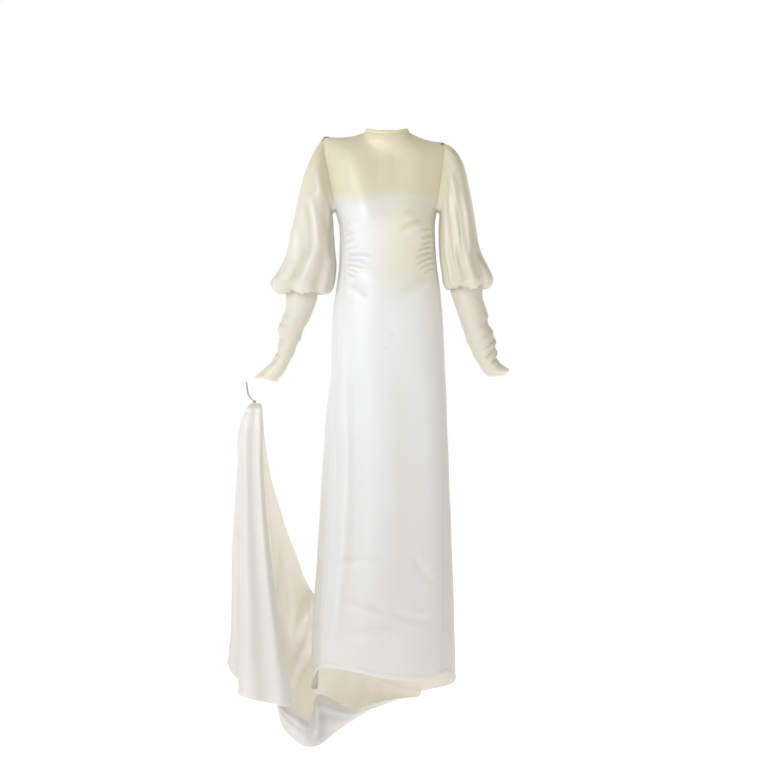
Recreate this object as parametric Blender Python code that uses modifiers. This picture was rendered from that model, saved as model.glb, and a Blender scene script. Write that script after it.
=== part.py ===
"""Bias-cut satin wedding dress of the 1930s, worn, with its train lifted by a loop.

Metres, +Z up. The origin lies midway between the shoulders, at the level of the right shoulder's tip.
The dress faces -Y. Right and left are the wearer's: right is -X and left is +X.
Tables are in millimetres.
"""
import math

import bmesh
import bpy
import numpy as np
from mathutils import Vector

MM = 0.001
CLOTH_WALL = 2.0 * MM
HALF_SEAM = 0.4 * MM
SHOULDER_EASE = 0.9 * MM
ARMHOLE_EASE = 0.6 * MM
SLEEVE_HEAD_EASE = 1.2 * MM
BACK_SEAM_EASE = 0.6 * MM
TRAIN_ROOT_EASE = 2.2 * MM
UNDERARM_LEVEL = -185.0
COLLECTION = "wedding_dress"

# The body of the dress: a row for each level, with the reach of its walls and the two front seams.
BODY_COLUMNS = ("level", "right", "left", "front", "back", "seam_right", "seam_left")
BODY = (
    (-185, -130, 125, 103, 86, -124, 118),
    (-215, -121, 120, 108, 85, -117, 114),
    (-245, -118, 120, 103, 82, -112, 113.5),
    (-277, -119, 121, 94, 78, -108, 115),
    (-327, -120, 125, 86, 74, -106, 117),
    (-370, -125, 132, 88, 82, -107, 118),
    (-432, -135, 138, 95, 98, -109, 119),
    (-500, -138, 142, 100, 110, -112, 125),
    (-595, -140, 146, 103, 115, -119, 133),
    (-657, -148, 149, 103, 114, -124, 137),
    (-782, -158, 153, 103, 112, -132, 138),
    (-907, -166, 157, 106, 118, -138, 138),
    (-1032, -173, 161, 112, 130, -146, 138),
    (-1157, -181, 165, 120, 148, -155, 137),
    (-1257, -185, 167, 127, 166, -163, 135),
    (-1357, -187, 169, 134, 188, -171, 133),
    (-1457, -189, 171, 140, 206, -176, 132),
)
SECTION_SQUARENESS = 2.3
BACK_SEAM_ANGLE = 112.0
SEAM_LIMIT = 0.985
FRONT_WIDTH = 220.0
BUST_START = 16.0

# The lower edge: a row for each angle round the skirt, from the front over the left side and back again.
HEM_COLUMNS = ("angle", "level")
HEM = (
    (-112, -1392),
    (-90, -1377),
    (-74, -1345),
    (-64, -1324),
    (-40, -1314),
    (-15, -1322),
    (0, -1334),
    (20, -1341),
    (42, -1338),
    (58, -1331),
    (72, -1340),
    (90, -1357),
    (112, -1381),
    (150, -1412),
)

# The line on the back skirt where the train runs on: a row for each angle.
TRAIN_ROOT_COLUMNS = ("angle", "level")
TRAIN_ROOT = (
    (150, -1412),
    (172, -1402),
    (195, -1350),
    (218, -1258),
    (248, -1160),
)

# The neck edge and the shoulder tips.
NECK_HALF_WIDTH = 56.0
NECK_FRONT = 50.0
NECK_BACK = 58.0
NECK_SIDE_LEVEL = 8.0
NECK_FRONT_LEVEL = 1.0
NECK_BACK_LEVEL = 15.0
SHOULDER_TIP_RIGHT = (-158.0, 2.0, -1.0)
SHOULDER_TIP_LEFT = (144.0, 2.0, -15.0)
SHOULDER_SHARE = 0.30
SHOULDER_DIP = 3.0
# How the yoke leaves the top line: flat over the chest, and rounded at the shoulders.
CHEST_ROUNDING = 1.35
SHOULDER_ROUNDING = 1.1
SHOULDER_SWING = 0.6
SHOULDER_FROM = 0.225
SHOULDER_FADE = 0.15
TOP_SOFTENING = 0.12
TOP_SOFTENED_BY = 0.35
SOFTENING_STEPS = (-1.0, -0.6, -0.2, 0.2, 0.6, 1.0)
ARMHOLE_FRONT = 0.42
ARMHOLE_BACK = 0.58

# The gathers that the front panel has at its side seams: a row for each fold.
# Each row is side, level, reach, drop, height and half width.
GATHERS = (
    (-1, -252, 24, 0.10, 2.2, 3.4),
    (-1, -268, 36, 0.15, 3.2, 3.6),
    (-1, -281, 30, 0.00, 2.4, 3.2),
    (-1, -305, 78, 0.02, 4.4, 4.2),
    (-1, -317, 58, 0.20, 3.8, 3.8),
    (-1, -329, 40, 0.35, 3.6, 3.8),
    (-1, -341, 26, 0.45, 3.0, 3.6),
    (-1, -356, 84, 0.62, 3.6, 7.5),
    (1, -238, 22, 0.15, 2.4, 3.4),
    (1, -258, 30, 0.25, 3.4, 3.6),
    (1, -271, 36, 0.35, 3.2, 3.6),
    (1, -284, 44, 0.30, 3.8, 3.8),
    (1, -298, 52, 0.35, 4.2, 4.0),
    (1, -311, 56, 0.45, 3.8, 4.0),
    (1, -325, 40, 0.50, 3.2, 3.8),
    (1, -342, 70, 0.60, 3.0, 7.0),
)
# The panels' rows, as shares of the way from underarm to hem, which all panels have at their seams.
ROWS_BELOW = (
    0.0, 0.018, 0.036, 0.054, 0.072, 0.090, 0.108, 0.126, 0.144, 0.166, 0.192,
    0.224, 0.262, 0.306, 0.36, 0.42, 0.49, 0.57, 0.65, 0.74, 0.83, 0.92, 1.0,
)
GATHER_START = 8.0
GATHERED_FROM = 0.05
GATHERED_TO = 0.14
BUST_LEVEL = -200.0
BUST_SPREAD = 62.0
BUST_HEIGHT = 9.0
BUST_RISE = 52.0
BUST_REACH = 40.0

# Soft upright folds of the skirt, at their full depth at the hem: a row for each fold.
# Each row is angle, half width, height and the level where it starts.
SKIRT_FOLDS = (
    (-58, 7, 4.0, -600),
    (-84, 9, 5.0, -800),
    (-36, 10, 2.5, -900),
    (50, 8, 3.0, -800),
    (82, 9, 5.0, -700),
    (106, 11, 6.0, -700),
    (132, 11, 6.0, -750),
    (158, 11, 6.0, -800),
    (184, 11, 5.0, -800),
    (210, 11, 4.0, -850),
    (236, 10, 3.0, -800),
)

FOLD_GROWTH = 700.0
FOLD_SIDEWAYS = 0.6

# The balloon sleeves: a row for each ring, with its outer and inner point and its half depth.
# Each row is outer x and z, inner x and z, half depth and the depth of its folds.
UPPER_RIGHT = (
    (-183, -36, -136, -192, 70, 1.5),
    (-199, -75, -134.5, -206, 74, 2.5),
    (-216, -130, -133, -229, 78, 3.0),
    (-233, -214, -130, -276, 81, 3.5),
    (-251, -296, -126, -318, 84, 4.5),
    (-273, -342, -127.5, -345, 86, 5.5),
    (-286, -362, -131, -366, 86, 6.5),
    (-281, -381, -136, -382, 80, 6.0),
    (-268, -391, -147, -392, 66, 4.5),
    (-259, -388, -165, -389, 47, 2.0),
)
UPPER_LEFT = (
    (169, -30, 131.5, -194, 70, 1.5),
    (190, -66, 130, -208, 74, 2.5),
    (204, -120, 129, -232, 78, 3.0),
    (217, -190, 129.5, -270, 81, 3.5),
    (231, -272, 132, -310, 84, 4.5),
    (253, -322, 136, -338, 86, 5.5),
    (266, -352, 138.5, -358, 86, 6.5),
    (262, -369, 142, -372, 80, 6.0),
    (253, -378, 148, -381, 66, 4.5),
    (244, -376, 152, -377, 47, 2.0),
)
GATHER_RING_RIGHT = (-254.4, -379.0, -172.6, -379.0, 40.4)
GATHER_RING_LEFT = (239.9, -367.0, 155.1, -367.0, 40.5)
SLEEVE_WAVES_RIGHT = (9, 0.6)
SLEEVE_WAVES_LEFT = (10, 2.1)
WAVE_UNEVENNESS = 0.28
WAVE_SHARE = 0.75
WAVE_BESIDE_BODY = 40.0
SLEEVE_HEAD_SHARE = 0.09
SLEEVE_HEAD_PUFF = 5.0
SLEEVE_ROWS = (0.0, 0.045, 0.09, 0.18, 0.28, 0.39, 0.50, 0.60, 0.69, 0.77, 0.84, 0.91, 0.96, 1.0)

# The lower sleeves: the same columns, down to the edge over the hand.
LOWER_RIGHT = (
    (-254, -362, -173, -362, 40, 0),
    (-253, -394, -174, -394, 39, 0),
    (-252.5, -410, -176, -410, 38, 0.5),
    (-256, -444, -190, -448, 36, 1.5),
    (-271, -472, -207, -480, 34, 2.0),
    (-270, -498, -217, -506, 32, 1.0),
    (-271, -521, -226, -524, 30, 2.0),
    (-281, -552, -240, -556, 28, 1.0),
    (-302, -575, -253, -583, 31, 1.5),
    (-332, -600, -276, -612, 35, 0.5),
)
LOWER_LEFT = (
    (239, -350, 154, -350, 40, 0),
    (239, -384, 158, -384, 39, 0),
    (240, -407, 165, -407, 38, 0.5),
    (250, -437, 177, -443, 36, 1.5),
    (253, -467, 187, -473, 34, 2.5),
    (268, -500, 199, -506, 33, 2.5),
    (271, -530, 212, -536, 31, 3.0),
    (275, -557, 229, -568, 30, 3.0),
    (290, -570, 252, -597, 32, 1.5),
    (305, -580, 293, -597, 35, 0.5),
)
# Creases of the lower sleeves: a row for each, along the sleeve from 0 to 1 and round it in degrees.
# Each row is along, round, reach, slant, height and half width.
CREASES_RIGHT = (
    (0.36, 20, 110, 0.05, 2.6, 0.030),
    (0.50, -10, 90, -0.06, 2.0, 0.028),
    (0.66, 10, 120, 0.06, 2.8, 0.030),
    (0.78, -20, 100, -0.05, 2.2, 0.028),
    (0.55, 180, 90, 0.05, 2.0, 0.030),
    (0.72, 200, 90, -0.05, 2.0, 0.030),
)
CREASES_LEFT = (
    (0.38, 15, 110, 0.06, 2.6, 0.028),
    (0.50, 10, 130, 0.09, 3.4, 0.026),
    (0.60, 5, 130, 0.09, 3.6, 0.026),
    (0.70, 0, 140, 0.10, 4.4, 0.028),
    (0.79, -5, 120, 0.06, 3.0, 0.026),
    (0.58, 180, 100, -0.05, 2.4, 0.030),
    (0.72, 190, 100, 0.05, 2.4, 0.030),
)

# The train from the back skirt to the loop: a row for each section, near rim to far rim.
# Each row is the near rim, near wall, bottom, far wall and far rim.
POUCH = (
    ((80, 172, -1426), (4, 192, -1430), (-62, 186, -1396), (-124, 160, -1302), (-166, 112, -1164)),
    ((34, 168, -1428), (-18, 178, -1450), (-82, 172, -1446), (-150, 158, -1335), (-190, 122, -1150)),
    ((-38, 112, -1434), (-62, 116, -1460), (-108, 128, -1474), (-176, 156, -1360), (-212, 128, -1112)),
    ((-91, 52, -1437), (-98, 54, -1462), (-138, 84, -1494), (-194, 142, -1372), (-230, 118, -1064)),
    ((-171, -8, -1392), (-170, -18, -1450), (-174, 18, -1520), (-214, 116, -1372), (-250, 98, -1012)),
    ((-189, -42, -1441), (-192, -50, -1482), (-207, 8, -1516), (-235, 98, -1350), (-265, 82, -962)),
    ((-226, -46, -1429), (-229, -54, -1465), (-241, 0, -1490), (-257, 74, -1300), (-278, 66, -915)),
    ((-262, -42, -1396), (-266, -44, -1424), (-268, -4, -1438), (-273, 52, -1220), (-290, 52, -868)),
    ((-287, -34, -1290), (-290, -26, -1300), (-288, 0, -1294), (-289, 36, -1105), (-301, 40, -812)),
    ((-307, -26, -1120), (-308, -18, -1118), (-305, 0, -1100), (-304, 24, -950), (-308, 27, -752)),
    ((-322, -20, -900), (-322, -12, -896), (-319, 0, -880), (-315, 14, -796), (-311, 16, -706)),
    ((-336, -2, -700), (-334, 7, -695), (-328, 11, -690), (-321, 8, -690), (-314, 0, -692)),
    ((-338, 2.0, -668), (-334, 3.0, -666.6), (-327, 3.4, -666), (-320, 3.0, -666.6), (-314, 2.0, -668)),
)
# Long folds of the pouch's far wall: across from 0 to 1, along from 0 to 1.
# Each row is across, half width, height, start and end.
POUCH_FOLDS = (
    (0.22, 0.05, 4.0, 0.15, 0.80),
    (0.48, 0.06, 6.0, 0.10, 0.90),
    (0.64, 0.05, -6.0, 0.15, 0.90),
    (0.76, 0.05, 6.0, 0.20, 0.92),
    (0.88, 0.05, -5.0, 0.25, 0.92),
)

POUCH_FOLD_BACKWARDS = 0.7
POUCH_FOLD_SIDEWAYS = 0.5

# The train's front fall: a row for each level, with its right edge, left ridge and back ply.
FALL_COLUMNS = ("level", "right", "ridge", "back_ply", "front", "depth")
FALL = (
    (-666, -315, -337, -338, -0.4, 0),
    (-672, -312, -344, -345, -13, 4),
    (-690, -310, -352, -355, -24, 12),
    (-727, -308, -361, -369, -34, 22),
    (-820, -308, -362, -373, -42, 28),
    (-922, -301, -361, -380, -50, 32),
    (-1032, -290, -361, -387, -57, 36),
    (-1150, -274, -360, -389, -63, 40),
    (-1260, -257, -361, -393, -68, 44),
    (-1340, -244, -364, -402, -72, 47),
    (-1425, -233, -367, -408, -75, 50),
)
FALL_HEM_COLUMNS = ("across", "level")
FALL_HEM = (
    (0.00, -1419),
    (0.18, -1408),
    (0.42, -1391),
    (0.56, -1376),
    (0.64, -1362),
    (0.72, -1340),
    (0.84, -1316),
    (0.92, -1318),
    (1.00, -1330),
)

# The fall's outline from its right edge over its ridge to its back ply.
# Each row is the place between right edge and ridge, or from there to the back ply, and the share of depth.
FALL_FRONT_PLY = (
    (0.00, 0.45),
    (0.16, 0.06),
    (0.42, 0.10),
    (0.74, -0.06),
    (1.00, 0.18),
)
FALL_VALLEY = (0.10, 3.0, 0.62)
FALL_BACK_PLY = (
    (0.70, 0.95),
    (1.00, 1.35),
)
FALL_TURN = (7.0, 1.95)
FALL_FULL_DEPTH = 45.0
FALL_ROW_SPACING = 1.25

# The loop of cord: its route's own points, from the knot over the hand's place and back.
CORD_RADIUS = 1.0 * MM
LOOP_ROUTE = (
    (-333.3, -3.7, -659.7),
    (-339.5, -9.5, -654.0),
    (-345.5, -13.5, -646.0),
    (-348.5, -15.0, -636.0),
    (-350.0, -13.5, -624.0),
    (-350.5, -8.0, -615.5),
    (-350.5, 0.0, -612.5),
    (-350.5, 8.0, -615.5),
    (-350.0, 13.5, -624.0),
    (-348.5, 15.0, -636.0),
    (-345.5, 13.5, -646.0),
    (-339.5, 9.5, -654.0),
    (-333.3, 3.7, -659.7),
)
LOOP_POINTS = 26
KNOT_PLACE = (-331.0, 0.0, -662.0)
KNOT_HALF = (4.2, 4.6, 3.6)

# The neck binding, the fastening of the left shoulder and the tab of the right one.
BINDING_HEIGHT = 11.0
BINDING_LEAN = 1.5
BINDING_OVERLAP = -0.6
BUTTON_ACROSS = 0.975
BUTTON_DOWN = 0.035
BUTTON_RADIUS = 3.6
BUTTON_HEIGHT = 2.6
BUTTON_GAP = 0.4
TAB_FRONT = -13.0
TAB_BACK = 11.0
TAB_PROFILE = (
    (-144.0, 1.2),
    (-157.5, 2.2),
    (-164.2, -0.4),
    (-170.9, -6.8),
    (-177.9, -14.6),
)

FRONT_COLUMNS = 16
FRONT_CLOSENESS = 0.45
FRONT_YOKE_ROWS = 8
GATHERED_ROWS = 4
SIDE_COLUMNS = 5
BACK_COLUMNS = 12
BACK_YOKE_ROWS = 6
BALLOON_COLUMNS = 30
CLOSE_SLEEVE_COLUMNS = 15
CLOSE_SLEEVE_ROWS = 17
POUCH_GRID = (18, 24)
FALL_GRID = (20, 18)
BINDING_GRID = (32, 2)
TAB_GRID = (4, 6)
TAB_CURVE = 1.5
BUTTON_LOOK = 0.02

IVORY = (0.82, 0.77, 0.64, 1.0)
REVERSE = (0.74, 0.64, 0.45, 1.0)
CORD_COLOUR = (0.55, 0.49, 0.38, 1.0)
BUTTON_COLOUR = (0.30, 0.24, 0.16, 1.0)


def clear_scene():
    """Removes what the scene holds before the dress is made."""
    for old in list(bpy.data.objects):
        bpy.data.objects.remove(old, do_unlink=True)


def finish(name, colour, roughness):
    """One plain material with the piece's colour and gloss."""
    material = bpy.data.materials.new(name)
    material.use_nodes = True
    shader = material.node_tree.nodes["Principled BSDF"]
    shader.inputs["Base Color"].default_value = colour
    shader.inputs["Roughness"].default_value = roughness
    material.diffuse_color = colour
    return material


def smooth_read(places, values, at):
    """Reads a table's column along a smooth curve through its rows."""
    places = np.asarray(places, dtype=float)
    values = np.asarray(values, dtype=float)
    if places[0] > places[-1]:
        places = places[::-1]
        values = values[::-1]
    at = min(max(at, places[0]), places[-1])
    row = int(min(max(np.searchsorted(places, at) - 1, 0), len(places) - 2))
    step = places[row + 1] - places[row]
    share = (at - places[row]) / step
    slopes = np.gradient(values, places, axis=0)
    rise = values[row + 1] - values[row]
    start = slopes[row] * step
    end = slopes[row + 1] * step
    blend = share * share * (3.0 - 2.0 * share)
    ease_in = share * (1.0 - share) ** 2
    ease_out = share * share * (share - 1.0)
    return values[row] + rise * blend + start * ease_in + end * ease_out


def column(table, columns, name):
    """All the values of one named column."""
    index = columns.index(name)
    return [row[index] for row in table]


def body_size(level, name):
    """One size of the dress's body at a level."""
    return float(smooth_read(column(BODY, BODY_COLUMNS, "level"), column(BODY, BODY_COLUMNS, name), level))


def power(value, exponent):
    """A signed power, for the squared round section."""
    return math.copysign(abs(value) ** exponent, value)


def hump(distance):
    """A soft ridge, 1 on its line and 0 far from it."""
    return math.exp(-distance * distance)


def fade(share):
    """Falls smoothly from 1 to 0 as share goes from 0 to 1."""
    share = min(max(share, 0.0), 1.0)
    return 1.0 - share * share * (3.0 - 2.0 * share)


def skirt_folds(angle, level):
    """How far the skirt's upright folds stand out."""
    out = 0.0
    for at, half_width, height, top in SKIRT_FOLDS:
        away = (angle - at + 180.0) % 360.0 - 180.0
        growth = 1.0 - fade((top - level) / FOLD_GROWTH)
        out += height * growth * hump(away / half_width)
    return out


def body_point(angle, level):
    """A point of the dress's outer face, by angle from the front and by level."""
    right = body_size(level, "right")
    left = body_size(level, "left")
    centre = 0.5 * (right + left)
    turn = math.radians(angle)
    exponent = 2.0 / SECTION_SQUARENESS
    depth = body_size(level, "front") if math.cos(turn) > 0.0 else body_size(level, "back")
    out = skirt_folds(angle, level)
    x = centre + (0.5 * (left - right) + FOLD_SIDEWAYS * out) * power(math.sin(turn), exponent)
    y = -(depth + out) * power(math.cos(turn), exponent)
    return Vector((x, y, level))


def seam_angle(level, side):
    """The angle at which a front seam runs, from its place across the front."""
    name = "seam_right" if side < 0 else "seam_left"
    right = body_size(level, "right")
    left = body_size(level, "left")
    share = (body_size(level, name) - 0.5 * (right + left)) / (0.5 * (left - right))
    share = min(abs(share), SEAM_LIMIT)
    return side * math.degrees(math.asin(share ** (SECTION_SQUARENESS / 2.0)))


def hem_level(angle):
    """The level of the lower edge at an angle from the front."""
    return float(smooth_read(column(HEM, HEM_COLUMNS, "angle"), column(HEM, HEM_COLUMNS, "level"), angle))


def root_level(angle):
    """The level at which the train runs on from the back, at an angle from the front."""
    angles = column(TRAIN_ROOT, TRAIN_ROOT_COLUMNS, "angle")
    return float(smooth_read(angles, column(TRAIN_ROOT, TRAIN_ROOT_COLUMNS, "level"), angle))


def seam_hold(inwards, width):
    """Holds a raised form down at a seam, and lets it go over a width inwards."""
    return 1.0 - hump(inwards / width)


def bust(x, level):
    """The soft fullness over the bust."""
    high = hump((level - BUST_LEVEL) / BUST_RISE)
    sides = hump((x - BUST_SPREAD) / BUST_REACH) + hump((x + BUST_SPREAD) / BUST_REACH)
    return BUST_HEIGHT * high * sides


def gathers(x, level):
    """The height of the folds gathered into the front panel's side seams."""
    out = 0.0
    for side, at, reach, drop, height, half_width in GATHERS:
        seam = body_size(level, "seam_right" if side < 0 else "seam_left")
        inwards = side * (seam - x)
        if inwards < 0.0 or inwards > reach:
            continue
        away = level - (at - drop * inwards)
        out += height * seam_hold(inwards, GATHER_START) * fade(inwards / reach) * hump(away / half_width)
    return out


def top_line(across, back):
    """The neck edge and the two shoulder seams, from the right shoulder's tip to the left's."""
    tip_right = Vector(SHOULDER_TIP_RIGHT)
    tip_left = Vector(SHOULDER_TIP_LEFT)
    neck_right = Vector((-NECK_HALF_WIDTH, 0.0, NECK_SIDE_LEVEL))
    neck_left = Vector((NECK_HALF_WIDTH, 0.0, NECK_SIDE_LEVEL))
    if across <= SHOULDER_SHARE:
        share = across / SHOULDER_SHARE
        point = tip_right.lerp(neck_right, share)
    elif across >= 1.0 - SHOULDER_SHARE:
        share = (1.0 - across) / SHOULDER_SHARE
        point = tip_left.lerp(neck_left, share)
    else:
        share = (across - SHOULDER_SHARE) / (1.0 - 2.0 * SHOULDER_SHARE)
        return neck_edge(180.0 * share, back)
    point.z -= SHOULDER_DIP * math.sin(math.pi * share)
    return point


def softened_top(across, down, back):
    """The top line as the cloth below it follows it: its corners soften on the way down."""
    reach = min(TOP_SOFTENING * min(down / TOP_SOFTENED_BY, 1.0), across, 1.0 - across)
    total = Vector()
    for share in SOFTENING_STEPS:
        total += top_line(across + reach * share, back)
    return total / len(SOFTENING_STEPS)


def neck_edge(turn, back):
    """A point of the neck edge, turned from the right side to the left."""
    angle = math.radians(turn)
    depth = NECK_BACK if back else -NECK_FRONT
    low = NECK_BACK_LEVEL if back else NECK_FRONT_LEVEL
    x = -NECK_HALF_WIDTH * math.cos(angle)
    y = depth * math.sin(angle)
    z = NECK_SIDE_LEVEL + (low - NECK_SIDE_LEVEL) * math.sin(angle) ** 2
    return Vector((x, y, z))


def yoke_point(across, down, back):
    """The bodice above the underarm, from the top line to the underarm level."""
    top = softened_top(across, down, back)
    if back:
        angle = 360.0 - BACK_SEAM_ANGLE + across * (2.0 * BACK_SEAM_ANGLE - 360.0)
    else:
        angle = seam_angle(UNDERARM_LEVEL, -1)
        angle += across * (seam_angle(UNDERARM_LEVEL, 1) - angle)
    low = body_point(angle, UNDERARM_LEVEL)
    shoulder = fade((min(across, 1.0 - across) - SHOULDER_FROM) / SHOULDER_FADE)
    rounding = CHEST_ROUNDING + SHOULDER_ROUNDING * shoulder
    root = 1.0 + SHOULDER_ROUNDING * shoulder
    swing = 1.0 + SHOULDER_SWING * shoulder
    forward = (1.0 - (1.0 - down) ** rounding) ** (1.0 / root)
    x = top.x + (low.x - top.x) * down ** swing
    y = top.y + (low.y - top.y) * forward
    z = top.z + (low.z - top.z) * down
    if not back:
        edge = min(across, 1.0 - across) * FRONT_WIDTH
        y -= bust(x, z) * down * seam_hold(edge, BUST_START)
    return Vector((x, y, z))


def front_point(across, level_share):
    """The front panel: the yoke for shares under 1, and then the levels down to the hem."""
    if level_share <= 1.0:
        return yoke_point(across, level_share, False)
    below = level_share - 1.0
    level = UNDERARM_LEVEL
    angle = 0.0
    for _ in range(4):
        first = seam_angle(level, -1)
        angle = first + across * (seam_angle(level, 1) - first)
        level = UNDERARM_LEVEL + below * (hem_level(angle) - UNDERARM_LEVEL)
    point = body_point(angle, level)
    edge = min(across, 1.0 - across) * FRONT_WIDTH
    point.y -= bust(point.x, level) * seam_hold(edge, BUST_START) + gathers(point.x, level)
    return point


def side_point(side, across, below):
    """A side panel, from its front seam to its back seam, from the underarm to the hem."""
    level = UNDERARM_LEVEL
    angle = 0.0
    for _ in range(4):
        first = seam_angle(level, side)
        angle = first + across * (side * BACK_SEAM_ANGLE - first)
        level = UNDERARM_LEVEL + below * (hem_level(angle) - UNDERARM_LEVEL)
    return body_point(angle, level)


def back_edge_level(angle):
    """The back's lower edge, which is the hem on the left and the train's root elsewhere."""
    return hem_level(angle) if angle < TRAIN_ROOT[0][0] else root_level(angle)


def back_point(side, across, level_share):
    """A back panel, from its side seam to the centre back."""
    whole = 0.5 * across if side < 0 else 1.0 - 0.5 * across
    if level_share <= 1.0:
        return yoke_point(whole, level_share, True)
    below = level_share - 1.0
    angle = 360.0 - BACK_SEAM_ANGLE + whole * (2.0 * BACK_SEAM_ANGLE - 360.0)
    level = UNDERARM_LEVEL + below * (back_edge_level(angle) - UNDERARM_LEVEL)
    return body_point(angle, level)


def armhole_point(side, turn):
    """A point of the armhole, turned from the shoulder tip over the front and back again."""
    share = turn / 360.0
    across = 0.0 if side < 0 else 1.0
    if share <= ARMHOLE_FRONT:
        return yoke_point(across, 1.0 - math.cos(0.5 * math.pi * share / ARMHOLE_FRONT), False)
    if share >= ARMHOLE_BACK:
        return yoke_point(across, 1.0 - math.cos(0.5 * math.pi * (1.0 - share) / (1.0 - ARMHOLE_BACK)), True)
    return side_point(side, (share - ARMHOLE_FRONT) / (ARMHOLE_BACK - ARMHOLE_FRONT), 0.0)


def ring_point(ring, turn, out):
    """A point of a sleeve's ring, turned from its outer point over the front."""
    outer = Vector((ring[0], 0.0, ring[1]))
    inner = Vector((ring[2], 0.0, ring[3]))
    angle = math.radians(turn)
    centre = 0.5 * (outer + inner)
    reach = 0.5 * (outer - inner)
    scale = 1.0 + out / max(reach.length, 1.0)
    along = reach * (math.cos(angle) * scale)
    depth = Vector((0.0, -(ring[4] + out) * math.sin(angle), 0.0))
    return centre + along + depth


def ring_at(rings, share):
    """Reads a table of rings along the sleeve, from 0 to 1."""
    places = np.linspace(0.0, 1.0, len(rings))
    return smooth_read(places, np.array(rings, dtype=float), share)


def sleeve_wave(turn, waves):
    """Soft uneven lengthwise folds of a balloon sleeve, from -1 to 1."""
    count, start = waves
    angle = math.radians(turn)
    uneven = angle + WAVE_UNEVENNESS * math.sin(2.0 * angle + start)
    wave = WAVE_SHARE * math.sin(count * uneven + start)
    wave += (1.0 - WAVE_SHARE) * math.sin(2.0 * angle + 3.0 * start)
    beside_body = hump((turn - 180.0) / WAVE_BESIDE_BODY)
    return wave * (1.0 - beside_body)


def upper_sleeve_point(side, rings, gather_ring, waves, turn, share):
    """A balloon sleeve: armhole, puffed rings and the edge gathered onto the lower sleeve."""
    table = list(rings)
    table.append(tuple(gather_ring) + (0.0,))
    if share <= SLEEVE_HEAD_SHARE:
        near = armhole_point(side, turn)
        far = ring_point(table[0], turn, table[0][5] * sleeve_wave(turn, waves))
        blend = share / SLEEVE_HEAD_SHARE
        point = near.lerp(far, blend)
        point.x += side * SLEEVE_HEAD_PUFF * math.sin(math.pi * blend)
        return point
    ring = ring_at(table, (share - SLEEVE_HEAD_SHARE) / (1.0 - SLEEVE_HEAD_SHARE))
    return ring_point(ring, turn, ring[5] * sleeve_wave(turn, waves))


def lower_sleeve_point(rings, creases, turn, share):
    """A lower sleeve with the slanting creases of its cloth."""
    ring = ring_at(rings, share)
    out = 0.0
    for along, place, reach, slant, height, half_width in creases:
        away = (turn - place + 180.0) % 360.0 - 180.0
        line = along + slant * away / 90.0
        out += height * fade(abs(away) / reach) * hump((share - line) / half_width)
    return ring_point(ring, turn, out)


def spline_across(points, share):
    """Reads a smooth curve through a few points."""
    places = np.linspace(0.0, 1.0, len(points))
    return smooth_read(places, np.array(points, dtype=float), share)


def pouch_point(across, along):
    """The train from its root on the back skirt, through its lowest point, up to the loop."""
    angle = TRAIN_ROOT[0][0] + across * (TRAIN_ROOT[-1][0] - TRAIN_ROOT[0][0])
    root = body_point(angle, root_level(angle))
    stations = [root]
    for section in POUCH:
        stations.append(Vector(spline_across(section, across)))
    point = Vector(spline_across([tuple(station) for station in stations], along))
    for place, half_width, height, start, end in POUCH_FOLDS:
        if start < along < end:
            middle = math.sin(math.pi * (along - start) / (end - start))
            out = height * middle * hump((across - place) / half_width)
            point.y += POUCH_FOLD_BACKWARDS * out
            point.x += POUCH_FOLD_SIDEWAYS * out
    return point


def fall_point(across, down):
    """The train's front ply, from the loop to its free hem."""
    levels = column(FALL, FALL_COLUMNS, "level")
    hem = float(smooth_read(column(FALL_HEM, FALL_HEM_COLUMNS, "across"),
                            column(FALL_HEM, FALL_HEM_COLUMNS, "level"), across))
    level = levels[0] + down ** FALL_ROW_SPACING * (hem - levels[0])
    sizes = []
    for name in ("right", "ridge", "back_ply", "front", "depth"):
        sizes.append(float(smooth_read(levels, column(FALL, FALL_COLUMNS, name), level)))
    right, ridge, back_ply, front, depth = sizes
    growth = min(depth / FALL_FULL_DEPTH, 1.0)
    outline = [(right + share * (ridge - right), front + part * depth) for share, part in FALL_FRONT_PLY]
    inwards, inset, part = FALL_VALLEY
    outline.append((ridge + inwards * (right - ridge) * growth - inset * growth, front + part * depth))
    outline += [(ridge + share * (back_ply - ridge), front + part * depth) for share, part in FALL_BACK_PLY]
    inwards, part = FALL_TURN
    outline.append((back_ply + inwards * growth, front + part * depth))
    x, y = spline_across(outline, across)
    return Vector((x, y, level))


def steps(count):
    """Evenly spaced shares from 0 to 1."""
    return [index / count for index in range(count + 1)]


def front_rows():
    """The front panel's rows: close together where it is gathered."""
    rows = [1.0 - math.cos(0.5 * math.pi * share) for share in steps(FRONT_YOKE_ROWS)]
    for first, last in zip(ROWS_BELOW, ROWS_BELOW[1:]):
        gathered = GATHERED_FROM <= first < GATHERED_TO
        parts = GATHERED_ROWS if gathered else 1
        rows += [1.0 + first + (last - first) * share for share in steps(parts)[1:]]
    return rows


def back_rows():
    """The back panels' rows."""
    rows = [1.0 - math.cos(0.5 * math.pi * share) for share in steps(BACK_YOKE_ROWS)]
    rows += [1.0 + share for share in ROWS_BELOW[1:]]
    return rows


def edge_close(count, pull):
    """Shares from 0 to 1, closer together near both ends."""
    return [share - pull * math.sin(2.0 * math.pi * share) / (2.0 * math.pi) for share in steps(count)]


def face_outwards(sheet, own_axis):
    """Turns a sheet's faces away from the dress's axis, or from the middle of their own level."""
    sheet.normal_update()
    middle = sum((vertex.co for vertex in sheet.verts), Vector()) / len(sheet.verts)
    total = 0.0
    for face in sheet.faces:
        centre = face.calc_center_median()
        axis = Vector((middle.x, middle.y, centre.z)) if own_axis else Vector((0.0, 0.0, centre.z))
        total += face.normal.dot(centre - axis) * face.calc_area()
    if total < 0.0:
        bmesh.ops.reverse_faces(sheet, faces=sheet.faces)


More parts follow.
